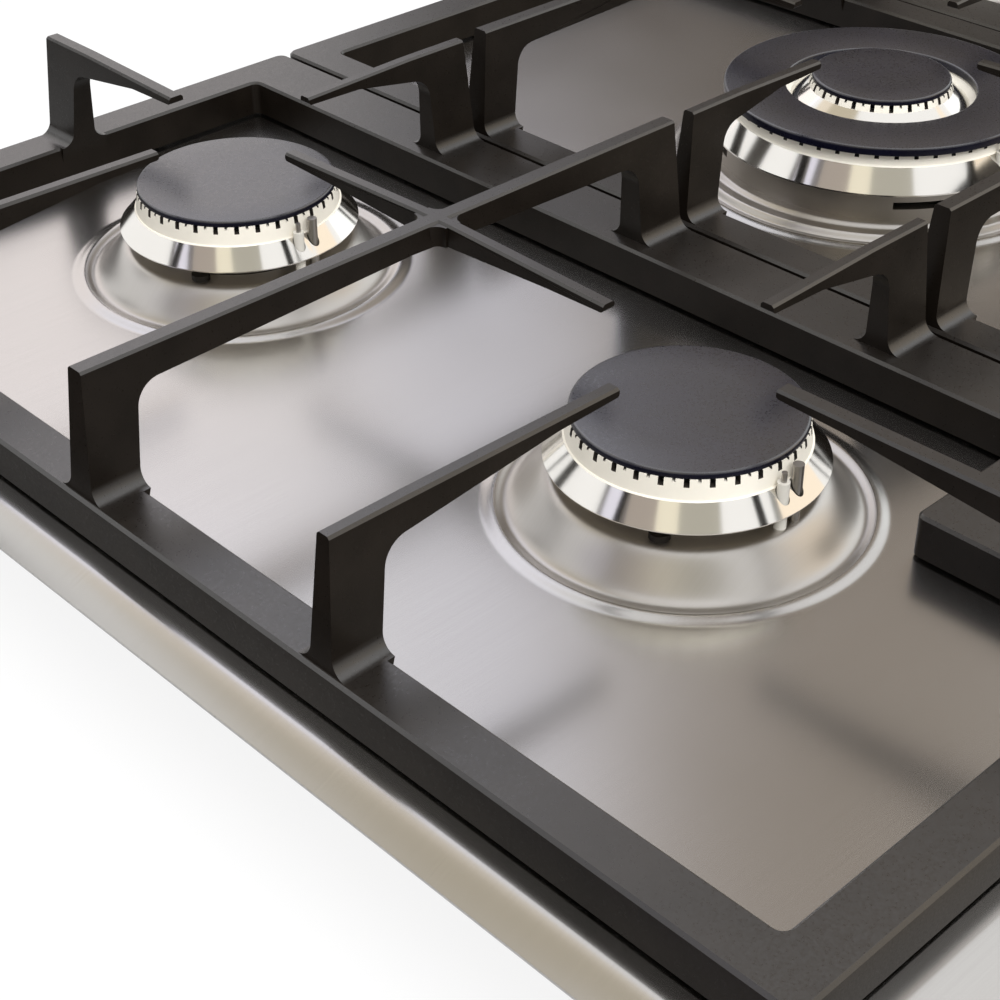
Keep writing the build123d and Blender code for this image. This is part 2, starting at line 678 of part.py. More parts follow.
outer_reach = BURNER_X - SIDE_X - TIP_TO_BURNER
inner_reach = SIDE_RIGHT - BURNER_X - TIP_TO_BURNER
front_reach = FRONT_BURNER_Y - GRATE_FRONT_Y - TIP_TO_BURNER
back_reach = GRATE_BACK_Y - REAR_BURNER_Y - TIP_TO_BURNER
side_arms = [bridge(arm_plane(SIDE_X, WOK_Y, 1, 0), SIDE_RIGHT - SIDE_X, OUTER_POST, INNER_POST)]
for y in (FRONT_BURNER_Y, REAR_BURNER_Y):
    side_arms.append(arm(arm_plane(SIDE_X, y, 1, 0), BAR_SIDE, outer_reach))
    side_arms.append(
        arm(
            arm_plane(SIDE_RIGHT, y, -1, 0), BAR_INNER, inner_reach,
            inset=INNER_POST_INSET, foot=INNER_FOOT_WIDTH, head=INNER_HEAD_WIDTH,
        )
    )
front_plane = arm_plane(BURNER_X, GRATE_FRONT_Y, 0, 1)
back_plane = arm_plane(BURNER_X, GRATE_BACK_Y, 0, -1)
side_arms.append(arm(front_plane, BAR_END, front_reach, half=FRONT_FINGER_HALF))
side_arms.append(arm(back_plane, BAR_END, back_reach, half=FRONT_FINGER_HALF))
side_arms.append(branch(arm_plane(BURNER_X, WOK_Y, 0, -1), WOK_Y - FRONT_BURNER_Y - TIP_TO_BURNER))
side_arms.append(branch(arm_plane(BURNER_X, WOK_Y, 0, 1), REAR_BURNER_Y - WOK_Y - TIP_TO_BURNER))
side_arms.append(cross_blend(BURNER_X, WOK_Y))

left_feet = [
    (SIDE_X + BAR_SIDE / 2, GRATE_FRONT_Y + BAR_END / 2),
    (SIDE_X + BAR_SIDE / 2, GRATE_BACK_Y - BAR_END / 2),
    (SIDE_RIGHT - BAR_INNER / 2, GRATE_BACK_Y - BAR_END / 2),
    (SIDE_RIGHT - BAR_INNER / 2, NOTCH_Y + NOTCH_BAR_END / 2),
    (NOTCH_X - NOTCH_BAR_SIDE / 2, GRATE_FRONT_Y + BAR_END / 2),
]
with BuildPart() as grate_left:
    bars(
        (
            (SIDE_X, GRATE_FRONT_Y), (NOTCH_X, GRATE_FRONT_Y), (NOTCH_X, NOTCH_Y),
            (SIDE_RIGHT, NOTCH_Y), (SIDE_RIGHT, GRATE_BACK_Y), (SIDE_X, GRATE_BACK_Y),
        ),
        (
            (SIDE_X + BAR_SIDE, GRATE_FRONT_Y + BAR_END),
            (NOTCH_X - NOTCH_BAR_SIDE, GRATE_FRONT_Y + BAR_END),
            (NOTCH_X - NOTCH_BAR_SIDE, NOTCH_Y + NOTCH_BAR_END),
            (SIDE_RIGHT - BAR_INNER, NOTCH_Y + NOTCH_BAR_END),
            (SIDE_RIGHT - BAR_INNER, GRATE_BACK_Y - BAR_END),
            (SIDE_X + BAR_SIDE, GRATE_BACK_Y - BAR_END),
        ),
    )
    add(side_arms)
    foot_holes(left_feet)
save(grate_left, "grate_left")

with BuildPart() as grate_right:
    add(mirror(grate_left.part, about=Plane.YZ, mode=Mode.PRIVATE))
save(grate_right, "grate_right")

wok_reach = HALF_CENTRE - TIP_TO_WOK
centre_arms = []
for y, way in ((FRONT_BURNER_Y, 1), (REAR_BURNER_Y, -1)):
    centre_arms.append(bridge(arm_plane(-HALF_CENTRE, y, 1, 0), 2 * HALF_CENTRE, OUTER_POST, OUTER_POST))
    centre_arms.append(branch(arm_plane(0, y, 0, way), abs(WOK_Y - y) - TIP_TO_WOK))
    centre_arms.append(cross_blend(0, y))
for way in (1, -1):
    centre_arms.append(arm(arm_plane(-way * HALF_CENTRE, WOK_Y, way, 0), BAR_SIDE, wok_reach))

centre_feet = [
    (sx * (HALF_CENTRE - BAR_SIDE / 2), y)
    for sx in (-1, 1)
    for y in (NOTCH_Y + BAR_END / 2, GRATE_BACK_Y - BAR_END / 2)
]
with BuildPart() as grate_centre:
    bars(
        (
            (-HALF_CENTRE, NOTCH_Y),
            (HALF_CENTRE, NOTCH_Y),
            (HALF_CENTRE, GRATE_BACK_Y),
            (-HALF_CENTRE, GRATE_BACK_Y),
        ),
        (
            (-HALF_CENTRE + BAR_SIDE, NOTCH_Y + BAR_END),
            (HALF_CENTRE - BAR_SIDE, NOTCH_Y + BAR_END),
            (HALF_CENTRE - BAR_SIDE, GRATE_BACK_Y - BAR_END),
            (-HALF_CENTRE + BAR_SIDE, GRATE_BACK_Y - BAR_END),
        ),
    )
    add(centre_arms)
    foot_holes(centre_feet)
save(grate_centre, "grate_centre")

save(feet(left_feet), "grate_feet_left")
save(feet(centre_feet), "grate_feet_centre")
save(feet([(-x, y) for x, y in left_feet]), "grate_feet_right")


# ------------------------------------------------------------------ burners
def injector_boss(x, y, floor_z, arm_length):
    """A boss under the cup with the injector's hole and a side inlet for the pipe."""
    disc(x, y, BOSS_R, PIPE_Z - INLET_R - BOSS_LIP, floor_z)
    level_bar(x, y, y - arm_length, INLET_R)
    disc(x, y, INJECTOR_R, PIPE_Z, floor_z + CUP_FLOOR, mode=Mode.SUBTRACT)
    level_bar(x, y, y - arm_length, PORT_R, mode=Mode.SUBTRACT)
    level_bar(x, y - arm_length + PIPE_SOCKET, y - arm_length, PIPE_R + PIPE_FIT, mode=Mode.SUBTRACT)


def burner_cup(x, y, cap_r):
    """The cup under the deck: its rim comes up through the dome and seats the crown."""
    cup_r = cap_r - CUP_INSET
    flange_r = cap_r + SKIRT_OVERHANG - DOME_SHELF - SHEET
    with BuildPart() as cup:
        turned(
            x, y,
            (0, CUP_FLOOR_Z - CUP_FLOOR),
            (cup_r, CUP_FLOOR_Z - CUP_FLOOR),
            (cup_r, CUP_UNDER_Z),
            (flange_r, CUP_UNDER_Z),
            (flange_r, DOME_Z - SHEET),
            (cup_r, DOME_Z - SHEET),
            (cup_r, SEAT_Z),
            (cup_r - CUP_WALL, SEAT_Z),
            (cup_r - CUP_WALL, CUP_FLOOR_Z),
            (0, CUP_FLOOR_Z),
        )
        injector_boss(x, y, CUP_FLOOR_Z - CUP_FLOOR, max(cup_r, BOSS_R + PIPE_SOCKET))
        for hole in screw_places(x, y, cap_r):
            disc(*hole, SCREW_R + SCREW_CLEARANCE / 2, CUP_UNDER_Z, DOME_Z, mode=Mode.SUBTRACT)
        for hole in probe_pair(x, y, cap_r + PROBE_FROM_CAP):
            disc(*hole, ELECTRODE_R + PROBE_CLEARANCE, CUP_UNDER_Z, DOME_Z, mode=Mode.SUBTRACT)
    return cup


def flame_slots(x, y, band_r, top_z, depth):
    """Slots cut down into the band from its upper edge, with a small nick between every two."""
    count = round(2 * math.pi * band_r / SLOT_PITCH)
    for width, height, start in ((SLOT_WIDTH, SLOT_HEIGHT, 0), (NICK_WIDTH, NICK_HEIGHT, 180 / count)):
        with BuildSketch(Plane.XY.offset(top_z - height)) as slots:
            with Locations((x, y)):
                with PolarLocations(band_r - depth / 2, count, start):
                    Rectangle(2 * depth, width)
        extrude(slots.sketch, amount=height, mode=Mode.SUBTRACT)


def burner_crown(x, y, cap_r):
    """The flame spreader: slotted band, polished conical skirt, neck and mixing tube in one casting."""
    cup_r = cap_r - CUP_INSET
    neck_r = cup_r - CUP_WALL - CROWN_CLEARANCE
    band_r = cap_r + BAND_OVERHANG
    skirt_r = cap_r + SKIRT_OVERHANG
    wall_r = band_r - BAND_OVERHANG - BAND_WALL
    tube_r = VENTURI_R + VENTURI_WALL
    groove_z = CHAMBER_Z - VENTURI_WALL
    with BuildPart() as crown:
        turned(
            x, y,
            (VENTURI_R, SEAT_Z - VENTURI_LENGTH),
            (tube_r, SEAT_Z - VENTURI_LENGTH),
            (tube_r, SEAT_Z),
            (neck_r - NECK_WALL, SEAT_Z),
            (neck_r - NECK_WALL, SEAT_Z - NECK_DEPTH),
            (neck_r, SEAT_Z - NECK_DEPTH),
            (neck_r, SEAT_Z),
            (cup_r + CROWN_CLEARANCE, SEAT_Z),
            (cup_r + CROWN_CLEARANCE, groove_z),
            (band_r - CROWN_CLEARANCE, groove_z),
            (skirt_r - SKIRT_LIP, SEAT_Z),
            (skirt_r, SEAT_Z),
            (band_r, SKIRT_TOP_Z),
            (band_r - BAND_TAPER, BAND_TOP_Z),
            (wall_r, BAND_TOP_Z),
            (wall_r, CHAMBER_Z),
            (tube_r + VENTURI_WALL, CHAMBER_Z),
            (VENTURI_R, CHAMBER_Z - VENTURI_WALL * 2),
        )
        flame_slots(x, y, band_r, BAND_TOP_Z, band_r - wall_r + CROWN_CLEARANCE)
        for hole in probe_pair(x, y, cap_r + PROBE_FROM_CAP):
            disc(*hole, ELECTRODE_R + PROBE_CLEARANCE, SEAT_Z, BAND_TOP_Z, mode=Mode.SUBTRACT)
    return crown


def burner_cap(x, y, cap_r):
    """An enamelled lid with a rib that drops inside the band."""
    top_z = BAND_TOP_Z + CAP_HEIGHT
    rib_r = cap_r - BAND_WALL - CROWN_CLEARANCE
    with BuildPart() as cap:
        turned(
            x, y,
            (0, top_z),
            (cap_r - CAP_CHAMFER, top_z),
            (cap_r, top_z - CAP_CHAMFER),
            (cap_r, BAND_TOP_Z),
            (rib_r, BAND_TOP_Z),
            (rib_r, BAND_TOP_Z - CAP_RIB_DEPTH),
            (rib_r - CAP_RIB_WIDTH, BAND_TOP_Z - CAP_RIB_DEPTH),
            (rib_r - CAP_RIB_WIDTH, BAND_TOP_Z),
            (0, BAND_TOP_Z),
        )
    return cap


for name, (x, y, cap_r) in BURNERS.items():
    save(burner_cup(x, y, cap_r), f"burner_cup_{name}")
    save(burner_crown(x, y, cap_r), f"burner_crown_{name}")
    save(burner_cap(x, y, cap_r), f"burner_cap_{name}")

# the large burner: cup with an air-slotted collar, a ring crown with a core inside, ring cap and core cap
wok_inner_r = WOK_COLLAR_R - WOK_COLLAR_WALL
wok_well_r = WOK_HOLE_R - DOME_HOLE_CLEARANCE
WOK_FLOOR_Z = CUP_FLOOR_Z
with BuildPart() as burner_cup_wok:
    turned(
        0, WOK_Y,
        (0, WOK_FLOOR_Z - CUP_FLOOR),
        (wok_well_r, WOK_FLOOR_Z - CUP_FLOOR),
        (wok_well_r, WOK_SHELF_Z),
        (WOK_COLLAR_R, WOK_SHELF_Z),
        (WOK_COLLAR_R, WOK_SEAT_Z),
        (wok_inner_r, WOK_SEAT_Z),
        (wok_inner_r, WOK_SHELF_Z + CUP_FLOOR),
        (wok_well_r - CUP_WALL, WOK_SHELF_Z + CUP_FLOOR),
        (wok_well_r - CUP_WALL, WOK_FLOOR_Z),
        (0, WOK_FLOOR_Z),
    )
    injector_boss(0, WOK_Y, WOK_FLOOR_Z - CUP_FLOOR, wok_well_r)
    with BuildSketch(Plane.XY.offset(WOK_SHELF_Z + CUP_FLOOR + SHEET)):
        with Locations((0, WOK_Y)):
            with PolarLocations(WOK_COLLAR_R, AIR_SLOTS, AIR_SLOT_ANGLE):
                Rectangle(2 * (WOK_COLLAR_WALL + SHEET), AIR_SLOT_WIDTH)
    extrude(amount=AIR_SLOT_HEIGHT, mode=Mode.SUBTRACT)
    for hole in probe_pair(0, WOK_Y, WOK_PROBE_R):
        disc(*hole, ELECTRODE_R + PROBE_CLEARANCE, WOK_SHELF_Z, WOK_SEAT_Z, mode=Mode.SUBTRACT)
save(burner_cup_wok, "burner_cup_wok")

wok_neck_r = wok_inner_r - CROWN_CLEARANCE
wok_wall_r = WOK_BAND_R - BAND_WALL - BAND_TAPER
wok_floor_z = WOK_SEAT_Z + CHAMBER_FLOOR
wok_core_z = WOK_BAND_TOP_Z + WOK_CORE_HEIGHT
core_band_r = WOK_CORE_CAP_R + BAND_OVERHANG
with BuildPart() as burner_crown_wok:
    turned(
        0, WOK_Y,
        (VENTURI_R, WOK_SEAT_Z - VENTURI_LENGTH),
        (VENTURI_R + VENTURI_WALL, WOK_SEAT_Z - VENTURI_LENGTH),
        (VENTURI_R + VENTURI_WALL, WOK_SEAT_Z),
        (wok_neck_r - NECK_WALL, WOK_SEAT_Z),
        (wok_neck_r - NECK_WALL, WOK_SEAT_Z - NECK_WALL),
        (wok_neck_r, WOK_SEAT_Z - NECK_WALL),
        (wok_neck_r, WOK_SEAT_Z),
        (WOK_SKIRT_R, WOK_SEAT_Z),
        (WOK_BAND_R, WOK_SKIRT_TOP_Z),
        (WOK_BAND_R - BAND_TAPER, WOK_BAND_TOP_Z),
        (wok_wall_r, WOK_BAND_TOP_Z),
        (wok_wall_r, wok_floor_z),
        (WOK_RING_INNER_R + 2 * BAND_WALL, wok_floor_z),
        (WOK_RING_INNER_R + 2 * BAND_WALL, WOK_BAND_TOP_Z),
        (WOK_RING_INNER_R + BAND_WALL / 2, WOK_BAND_TOP_Z),
        (WOK_CORE_R, wok_floor_z + CHAMBER_FLOOR),
        (core_band_r, wok_core_z - SLOT_HEIGHT),
        (core_band_r - BAND_TAPER, wok_core_z),
        (core_band_r - BAND_WALL, wok_core_z),
        (core_band_r - BAND_WALL, wok_floor_z),
        (VENTURI_R + 2 * VENTURI_WALL, wok_floor_z),
        (VENTURI_R, wok_floor_z - 2 * VENTURI_WALL),
    )
    flame_slots(0, WOK_Y, WOK_BAND_R, WOK_BAND_TOP_Z, WOK_BAND_R - wok_wall_r + CROWN_CLEARANCE)
    flame_slots(0, WOK_Y, core_band_r, wok_core_z, BAND_WALL + CROWN_CLEARANCE)
    probe_hole_r = ELECTRODE_R + PROBE_CLEARANCE
    for hole in probe_pair(0, WOK_Y, WOK_PROBE_R):
        disc(*hole, probe_hole_r, WOK_SEAT_Z - NECK_WALL, WOK_BAND_TOP_Z, mode=Mode.SUBTRACT)
save(burner_crown_wok, "burner_crown_wok")

wok_cap_top = WOK_BAND_TOP_Z + WOK_CAP_HEIGHT
wok_rib_r = wok_wall_r - CROWN_CLEARANCE
with BuildPart() as burner_cap_wok_ring:
    turned(
        0, WOK_Y,
        (WOK_RING_INNER_R, WOK_BAND_TOP_Z),
        (WOK_RING_INNER_R, wok_cap_top - CAP_CHAMFER),
        (WOK_RING_INNER_R + CAP_CHAMFER, wok_cap_top),
        (WOK_CAP_R - 2 * CAP_CHAMFER, wok_cap_top),
        (WOK_CAP_R, wok_cap_top - 2 * CAP_CHAMFER),
        (WOK_CAP_R, WOK_BAND_TOP_Z),
        (wok_rib_r, WOK_BAND_TOP_Z),
        (wok_rib_r, WOK_BAND_TOP_Z - CAP_RIB_DEPTH),
        (wok_rib_r - CAP_RIB_WIDTH, WOK_BAND_TOP_Z - CAP_RIB_DEPTH),
        (wok_rib_r - CAP_RIB_WIDTH, WOK_BAND_TOP_Z),
    )
save(burner_cap_wok_ring, "burner_cap_wok_ring")

core_rib_r = core_band_r - BAND_WALL - CROWN_CLEARANCE
with BuildPart() as burner_cap_wok_centre:
    turned(
        0, WOK_Y,
        (0, wok_core_z + CAP_HEIGHT),
        (WOK_CORE_CAP_R - CAP_CHAMFER, wok_core_z + CAP_HEIGHT),
        (WOK_CORE_CAP_R, wok_core_z + CAP_HEIGHT - CAP_CHAMFER),
        (WOK_CORE_CAP_R, wok_core_z),
        (core_rib_r, wok_core_z),
        (core_rib_r, wok_core_z - CAP_RIB_DEPTH),
        (core_rib_r - CAP_RIB_WIDTH, wok_core_z - CAP_RIB_DEPTH),
        (core_rib_r - CAP_RIB_WIDTH, wok_core_z),
        (0, wok_core_z),
    )
save(burner_cap_wok_centre, "burner_cap_wok_centre")

# ------------------------------------------------------------------ electrodes, thermocouples, screws
# each pair of probes with the level of the seat above its collars and the level of the band's top
probe_sites = [
    (*probe_pair(x, y, cap_r + PROBE_FROM_CAP), CUP_UNDER_Z, BAND_TOP_Z) for x, y, cap_r in BURNERS.values()
]
probe_sites.append((*probe_pair(0, WOK_Y, WOK_PROBE_R), WOK_SHELF_Z - SHEET, WOK_BAND_TOP_Z))

with BuildPart() as spark_electrodes:
    for (x, y), _, seat_z, band_z in probe_sites:
        tail_z = seat_z - PROBE_COLLAR_LENGTH - PROBE_TAIL
        disc(x, y, ELECTRODE_R, tail_z, band_z - PROBE_TO_CAP - PIN_LENGTH)
        disc(x, y, PROBE_COLLAR_R, seat_z - PROBE_COLLAR_LENGTH, seat_z)
save(spark_electrodes, "spark_electrodes")

with BuildPart() as spark_pins:
    for (x, y), _, _, band_z in probe_sites:
        disc(x, y, PIN_R, band_z - PROBE_TO_CAP - PIN_LENGTH, band_z - PROBE_TO_CAP)
save(spark_pins, "spark_pins")

with BuildPart() as thermocouples:
    for _, (x, y), seat_z, band_z in probe_sites:
        tail_z = seat_z - PROBE_COLLAR_LENGTH - PROBE_TAIL
        disc(x, y, THERMOCOUPLE_R, tail_z, band_z - PROBE_TO_CAP)
        disc(x, y, PROBE_COLLAR_R, seat_z - PROBE_COLLAR_LENGTH, seat_z)
save(thermocouples, "thermocouples")

with BuildPart() as burner_screws:
    for x, y, cap_r in BURNERS.values():
        for place in screw_places(x, y, cap_r):
            disc(*place, SCREW_R, CUP_UNDER_Z, DOME_Z)
            disc(*place, SCREW_HEAD_R, DOME_Z, DOME_Z + SCREW_HEAD_HEIGHT)
save(burner_screws, "burner_screws")

with BuildPart() as injectors:
    for x, y in [(x, y) for x, y, _ in BURNERS.values()] + [(0, WOK_Y)]:
        disc(x, y, INJECTOR_R, CUP_FLOOR_Z - INJECTOR_THREAD, CUP_FLOOR_Z)
        with BuildSketch(Plane.XY.offset(CUP_FLOOR_Z)):
            with Locations((x, y)):
                RegularPolygon(INJECTOR_HEX_R, 6)
        extrude(amount=INJECTOR_HEX_HEIGHT)
        disc(
            x, y, INJECTOR_HOLE_R, CUP_FLOOR_Z - INJECTOR_THREAD, CUP_FLOOR_Z + INJECTOR_HEX_HEIGHT,
            mode=Mode.SUBTRACT,
        )
save(injectors, "injectors")

# ------------------------------------------------------------------ taps, spindles and knobs
MANIFOLD_Y = KNOB_Y - MANIFOLD_FROM_TAP
TAP_END_Y = KNOB_Y + TAP_R + TAP_OUTLET_LENGTH


def cone(x, large_r, small_r, foot_z, top_z, mode=Mode.ADD):
    """A short upright cone, wider at the top."""
    turned(x, KNOB_Y, (0, foot_z), (small_r, foot_z), (large_r, top_z), (0, top_z), mode=mode)


def d_shape(x, low, high, r, flat, mode):
    """A round bar with one flat, turned to the front; flat is its distance from the axis."""
    with BuildSketch(Plane.XY.offset(low)) as section:
        with Locations((x, KNOB_Y)):
            Circle(r)
        with Locations((x, KNOB_Y - flat)):
            Rectangle(4 * r, 4 * r, align=(Align.CENTER, Align.MAX), mode=Mode.SUBTRACT)
    extrude(section.sketch, amount=high - low, mode=mode)


def gas_tap(x):
    """A turned body with a tapered seat, clamped on the manifold, with an outlet for the burner's pipe."""
    with BuildPart() as tap:
        disc(x, KNOB_Y, TAP_R, TAP_FOOT_Z, TAP_TOP_Z)
        with BuildSketch(Plane(origin=(x, KNOB_Y, PIPE_Z), x_dir=(1, 0, 0), z_dir=(0, -1, 0))):
            Rectangle(2 * MANIFOLD_R, 2 * MANIFOLD_R + 2 * SHEET)
        extrude(amount=MANIFOLD_FROM_TAP)
        level_bar(x, KNOB_Y, TAP_END_Y, INLET_R)
        # half-round saddle on the manifold
        with BuildSketch(Plane.YZ.offset(x)):
            with Locations((MANIFOLD_Y, PIPE_Z)):
                Circle(MANIFOLD_R + PIPE_FIT)
        extrude(amount=2 * MANIFOLD_R, both=True, mode=Mode.SUBTRACT)
        # gas way in from the manifold and out to the pipe, then the seat of the plug
        level_bar(x, MANIFOLD_Y, TAP_END_Y, PORT_R, mode=Mode.SUBTRACT)
        level_bar(x, TAP_END_Y - PIPE_SOCKET, TAP_END_Y, PIPE_R + PIPE_FIT, mode=Mode.SUBTRACT)
        cone(
            x, PLUG_LARGE_R + PLUG_CLEARANCE, PLUG_SMALL_R + PLUG_CLEARANCE,
            PLUG_FOOT_Z, PLUG_TOP_Z, mode=Mode.SUBTRACT,
        )
        disc(x, KNOB_Y, SPINDLE_R + 2 * SPINDLE_CLEARANCE, PLUG_TOP_Z, TAP_TOP_Z, mode=Mode.SUBTRACT)
    return tap


def tap_plug(x):
    """The conical plug that turns in the tap; a gas port crosses it and a socket takes the spindle."""
    with BuildPart() as plug:
        cone(x, PLUG_LARGE_R, PLUG_SMALL_R, PLUG_FOOT_Z, PLUG_TOP_Z)
        level_bar(x, KNOB_Y - PLUG_LARGE_R, KNOB_Y + PLUG_LARGE_R, PORT_R, mode=Mode.SUBTRACT)
        socket_foot = PLUG_TOP_Z - PLUG_SOCKET_DEPTH
        d_shape(
            x, socket_foot, PLUG_TOP_Z, SPINDLE_R + SPINDLE_FIT, SPINDLE_FLAT + SPINDLE_FIT, Mode.SUBTRACT
        )
    return plug


spindle_foot_z = PLUG_TOP_Z - PLUG_SOCKET_DEPTH + PUSH_TRAVEL + SPINDLE_SHOULDER
spindle_top_z = KNOB_FOOT_Z + KNOB_HEIGHT - 2 * KNOB_WALL


def spindle(x):
    """A steel rod with a flat, which slides in the plug's socket and carries the knob."""
    with BuildPart() as rod:
        d_shape(x, spindle_foot_z, spindle_top_z, SPINDLE_R, SPINDLE_FLAT, Mode.ADD)
    return rod


def knob(x):
    """A turned metal knob: wide foot, narrower grip, hollow underneath with a hub for the spindle."""
    top_z = KNOB_FOOT_Z + KNOB_HEIGHT
    with BuildPart() as turned_knob:
        turned(
            x, KNOB_Y,
            (0, top_z),
            (KNOB_GRIP_R - KNOB_WALL, top_z),
            (KNOB_GRIP_R, top_z - KNOB_WALL),
            (KNOB_GRIP_R + KNOB_WALL / 4, KNOB_FOOT_Z + KNOB_SKIRT),
            (KNOB_R - KNOB_WALL / 4, KNOB_FOOT_Z + KNOB_SKIRT - KNOB_WALL / 2),
            (KNOB_R, KNOB_FOOT_Z + KNOB_SKIRT - KNOB_WALL),
            (KNOB_R, KNOB_FOOT_Z),
            (KNOB_GRIP_R - KNOB_WALL, KNOB_FOOT_Z),
            (KNOB_GRIP_R - KNOB_WALL, top_z - KNOB_WALL),
            (KNOB_HUB_R, top_z - KNOB_WALL),
            (KNOB_HUB_R, KNOB_FOOT_Z + KNOB_WALL),
            (0, KNOB_FOOT_Z + KNOB_WALL),
        )
        socket_foot = KNOB_FOOT_Z + KNOB_WALL
        d_shape(
            x, socket_foot, spindle_top_z, SPINDLE_R + SPINDLE_FIT, SPINDLE_FLAT + SPINDLE_FIT, Mode.SUBTRACT
        )
        # pointer line towards the back, where the dial's mark is
        with BuildSketch(Plane.XY.offset(top_z - POINTER_DEPTH)):
            with Locations((x, KNOB_Y + KNOB_GRIP_R / 2)):
                Rectangle(POINTER_WIDTH, KNOB_GRIP_R)
        extrude(amount=POINTER_DEPTH, mode=Mode.SUBTRACT)
    return turned_knob


for number, x in enumerate(KNOB_XS, start=1):
    save(gas_tap(x), f"gas_tap_{number}")
    save(tap_plug(x), f"tap_plug_{number}")
    save(spindle(x), f"spindle_{number}")
    save(knob(x), f"knob_{number}")

with BuildPart() as knob_seals:
    for x in KNOB_XS:
        seal_in = SPINDLE_R + SEAL_CLEARANCE
        turned(
            x, KNOB_Y,
            (seal_in, UNDER_Z - SEAL_LIP),
            (SEAL_R + SEAL_LIP, UNDER_Z - SEAL_LIP),
            (SEAL_R + SEAL_LIP, UNDER_Z),
            (SEAL_R, UNDER_Z),
            (SEAL_R, DECK_Z),
            (seal_in, DECK_Z),
        )
save(knob_seals, "knob_seals")

# ------------------------------------------------------------------ gas pipes
TAP_OUTLET_Y = TAP_END_Y - PIPE_SOCKET


def pipe(points, r, wall, bend_r):
    """A round tube along a flat route of straight runs joined by arcs."""
    with BuildPart() as tube:
        with BuildLine() as route:
            FilletPolyline(*[(x, y, PIPE_Z) for x, y in points], radius=bend_r)
        with BuildSketch(Plane(origin=route.line @ 0, z_dir=route.line % 0)):
            Circle(r)
            Circle(r - wall, mode=Mode.SUBTRACT)
        sweep()
    return tube.part


def inlet_end(y, cap_r):
    """Where a burner's pipe ends in its cup."""
    cup_r = cap_r - CUP_INSET
    return y - max(cup_r, BOSS_R + PIPE_SOCKET) + PIPE_SOCKET


routes = []
bend = PIPE_BEND_R
outer_lane = TAP_OUTLET_Y + bend
mid_x = (BURNER_X + KNOB_XS[1]) / 2
for side, front_knob, rear_knob, front, rear in (
    (-1, KNOB_XS[0], KNOB_XS[1], "front_left", "rear_left"),
    (1, KNOB_XS[-1], KNOB_XS[-2], "front_right", "rear_right"),
):
    burner_x = side * abs(BURNER_X)
    front_end = inlet_end(FRONT_BURNER_Y, BURNERS[front][2])
    rear_end = inlet_end(REAR_BURNER_Y, BURNERS[rear][2])
    routes.append(
        (
            (front_knob, TAP_OUTLET_Y),
            (front_knob, outer_lane),
            (burner_x, front_end - 2 * bend),
            (burner_x, front_end),
        )
    )
    routes.append(
        (
            (rear_knob, TAP_OUTLET_Y),
            (rear_knob, outer_lane + bend),
            (side * abs(mid_x), FRONT_BURNER_Y),
            (side * abs(mid_x), WOK_Y),
            (burner_x, rear_end - 2 * bend),
            (burner_x, rear_end),
        )
    )
burner_tubes = [pipe(points, PIPE_R, PIPE_WALL, bend / 2) for points in routes]
with BuildPart() as burner_pipes:
    add(burner_tubes)
    wok_end = WOK_Y - wok_well_r + PIPE_SOCKET
    level_bar(0, TAP_OUTLET_Y, wok_end, PIPE_R)
    level_bar(0, TAP_OUTLET_Y, wok_end, PIPE_R - PIPE_WALL, mode=Mode.SUBTRACT)
save(burner_pipes, "burner_pipes")

manifold_start = KNOB_XS[0] - 2 * MANIFOLD_R
elbow_end_y = INLET_Y - ELBOW_ARM
manifold_route = (
    (manifold_start, MANIFOLD_Y),
    (INLET_X, MANIFOLD_Y),
    (INLET_X, elbow_end_y + PIPE_SOCKET),
)
manifold_tube = pipe(manifold_route, MANIFOLD_R, MANIFOLD_WALL, MANIFOLD_BEND_R)
with BuildPart() as gas_manifold:
    add(manifold_tube)
    with BuildSketch(Plane.YZ.offset(manifold_start)):
        with Locations((MANIFOLD_Y, PIPE_Z)):
            Circle(MANIFOLD_R)
    extrude(amount=MANIFOLD_WALL)
    for x in KNOB_XS:
        level_bar(x, MANIFOLD_Y, MANIFOLD_Y + 2 * MANIFOLD_R, PORT_R, mode=Mode.SUBTRACT)
save(gas_manifold, "gas_manifold")

elbow_z = NICHE_HEIGHT + SHEET + WASHER_HEIGHT
neck_z = NICHE_HEIGHT - INLET_RELIEF
thread_z = neck_z - INLET_THREAD_LENGTH
elbow_r = MANIFOLD_R + MANIFOLD_WALL
with BuildPart() as inlet_elbow:
    # threaded end below the niche, neck through its sheet, collar above, body round the manifold's end
    disc(INLET_X, INLET_Y, INLET_THREAD_R, thread_z, neck_z)
    disc(INLET_X, INLET_Y, INLET_NECK_R, neck_z, elbow_z)
    disc(INLET_X, INLET_Y, INLET_COLLAR_R, elbow_z, elbow_z + INLET_COLLAR_LENGTH)
    disc(INLET_X, INLET_Y, elbow_r, elbow_z + INLET_COLLAR_LENGTH, PIPE_Z + elbow_r)
    level_bar(INLET_X, INLET_Y, elbow_end_y, elbow_r)
    level_bar(INLET_X, elbow_end_y + PIPE_SOCKET, elbow_end_y, MANIFOLD_R + PIPE_FIT, mode=Mode.SUBTRACT)
    level_bar(INLET_X, INLET_Y, elbow_end_y, MANIFOLD_R - MANIFOLD_WALL, mode=Mode.SUBTRACT)
    disc(INLET_X, INLET_Y, INLET_BORE_R, thread_z, PIPE_Z, mode=Mode.SUBTRACT)
save(inlet_elbow, "inlet_elbow")

inlet_hole_r = INLET_THREAD_R + SCREW_CLEARANCE
with BuildPart() as inlet_washer:
    disc(INLET_X, INLET_Y, WASHER_R, NICHE_HEIGHT + SHEET, elbow_z)
    disc(INLET_X, INLET_Y, inlet_hole_r, NICHE_HEIGHT + SHEET, elbow_z, mode=Mode.SUBTRACT)
save(inlet_washer, "inlet_washer")

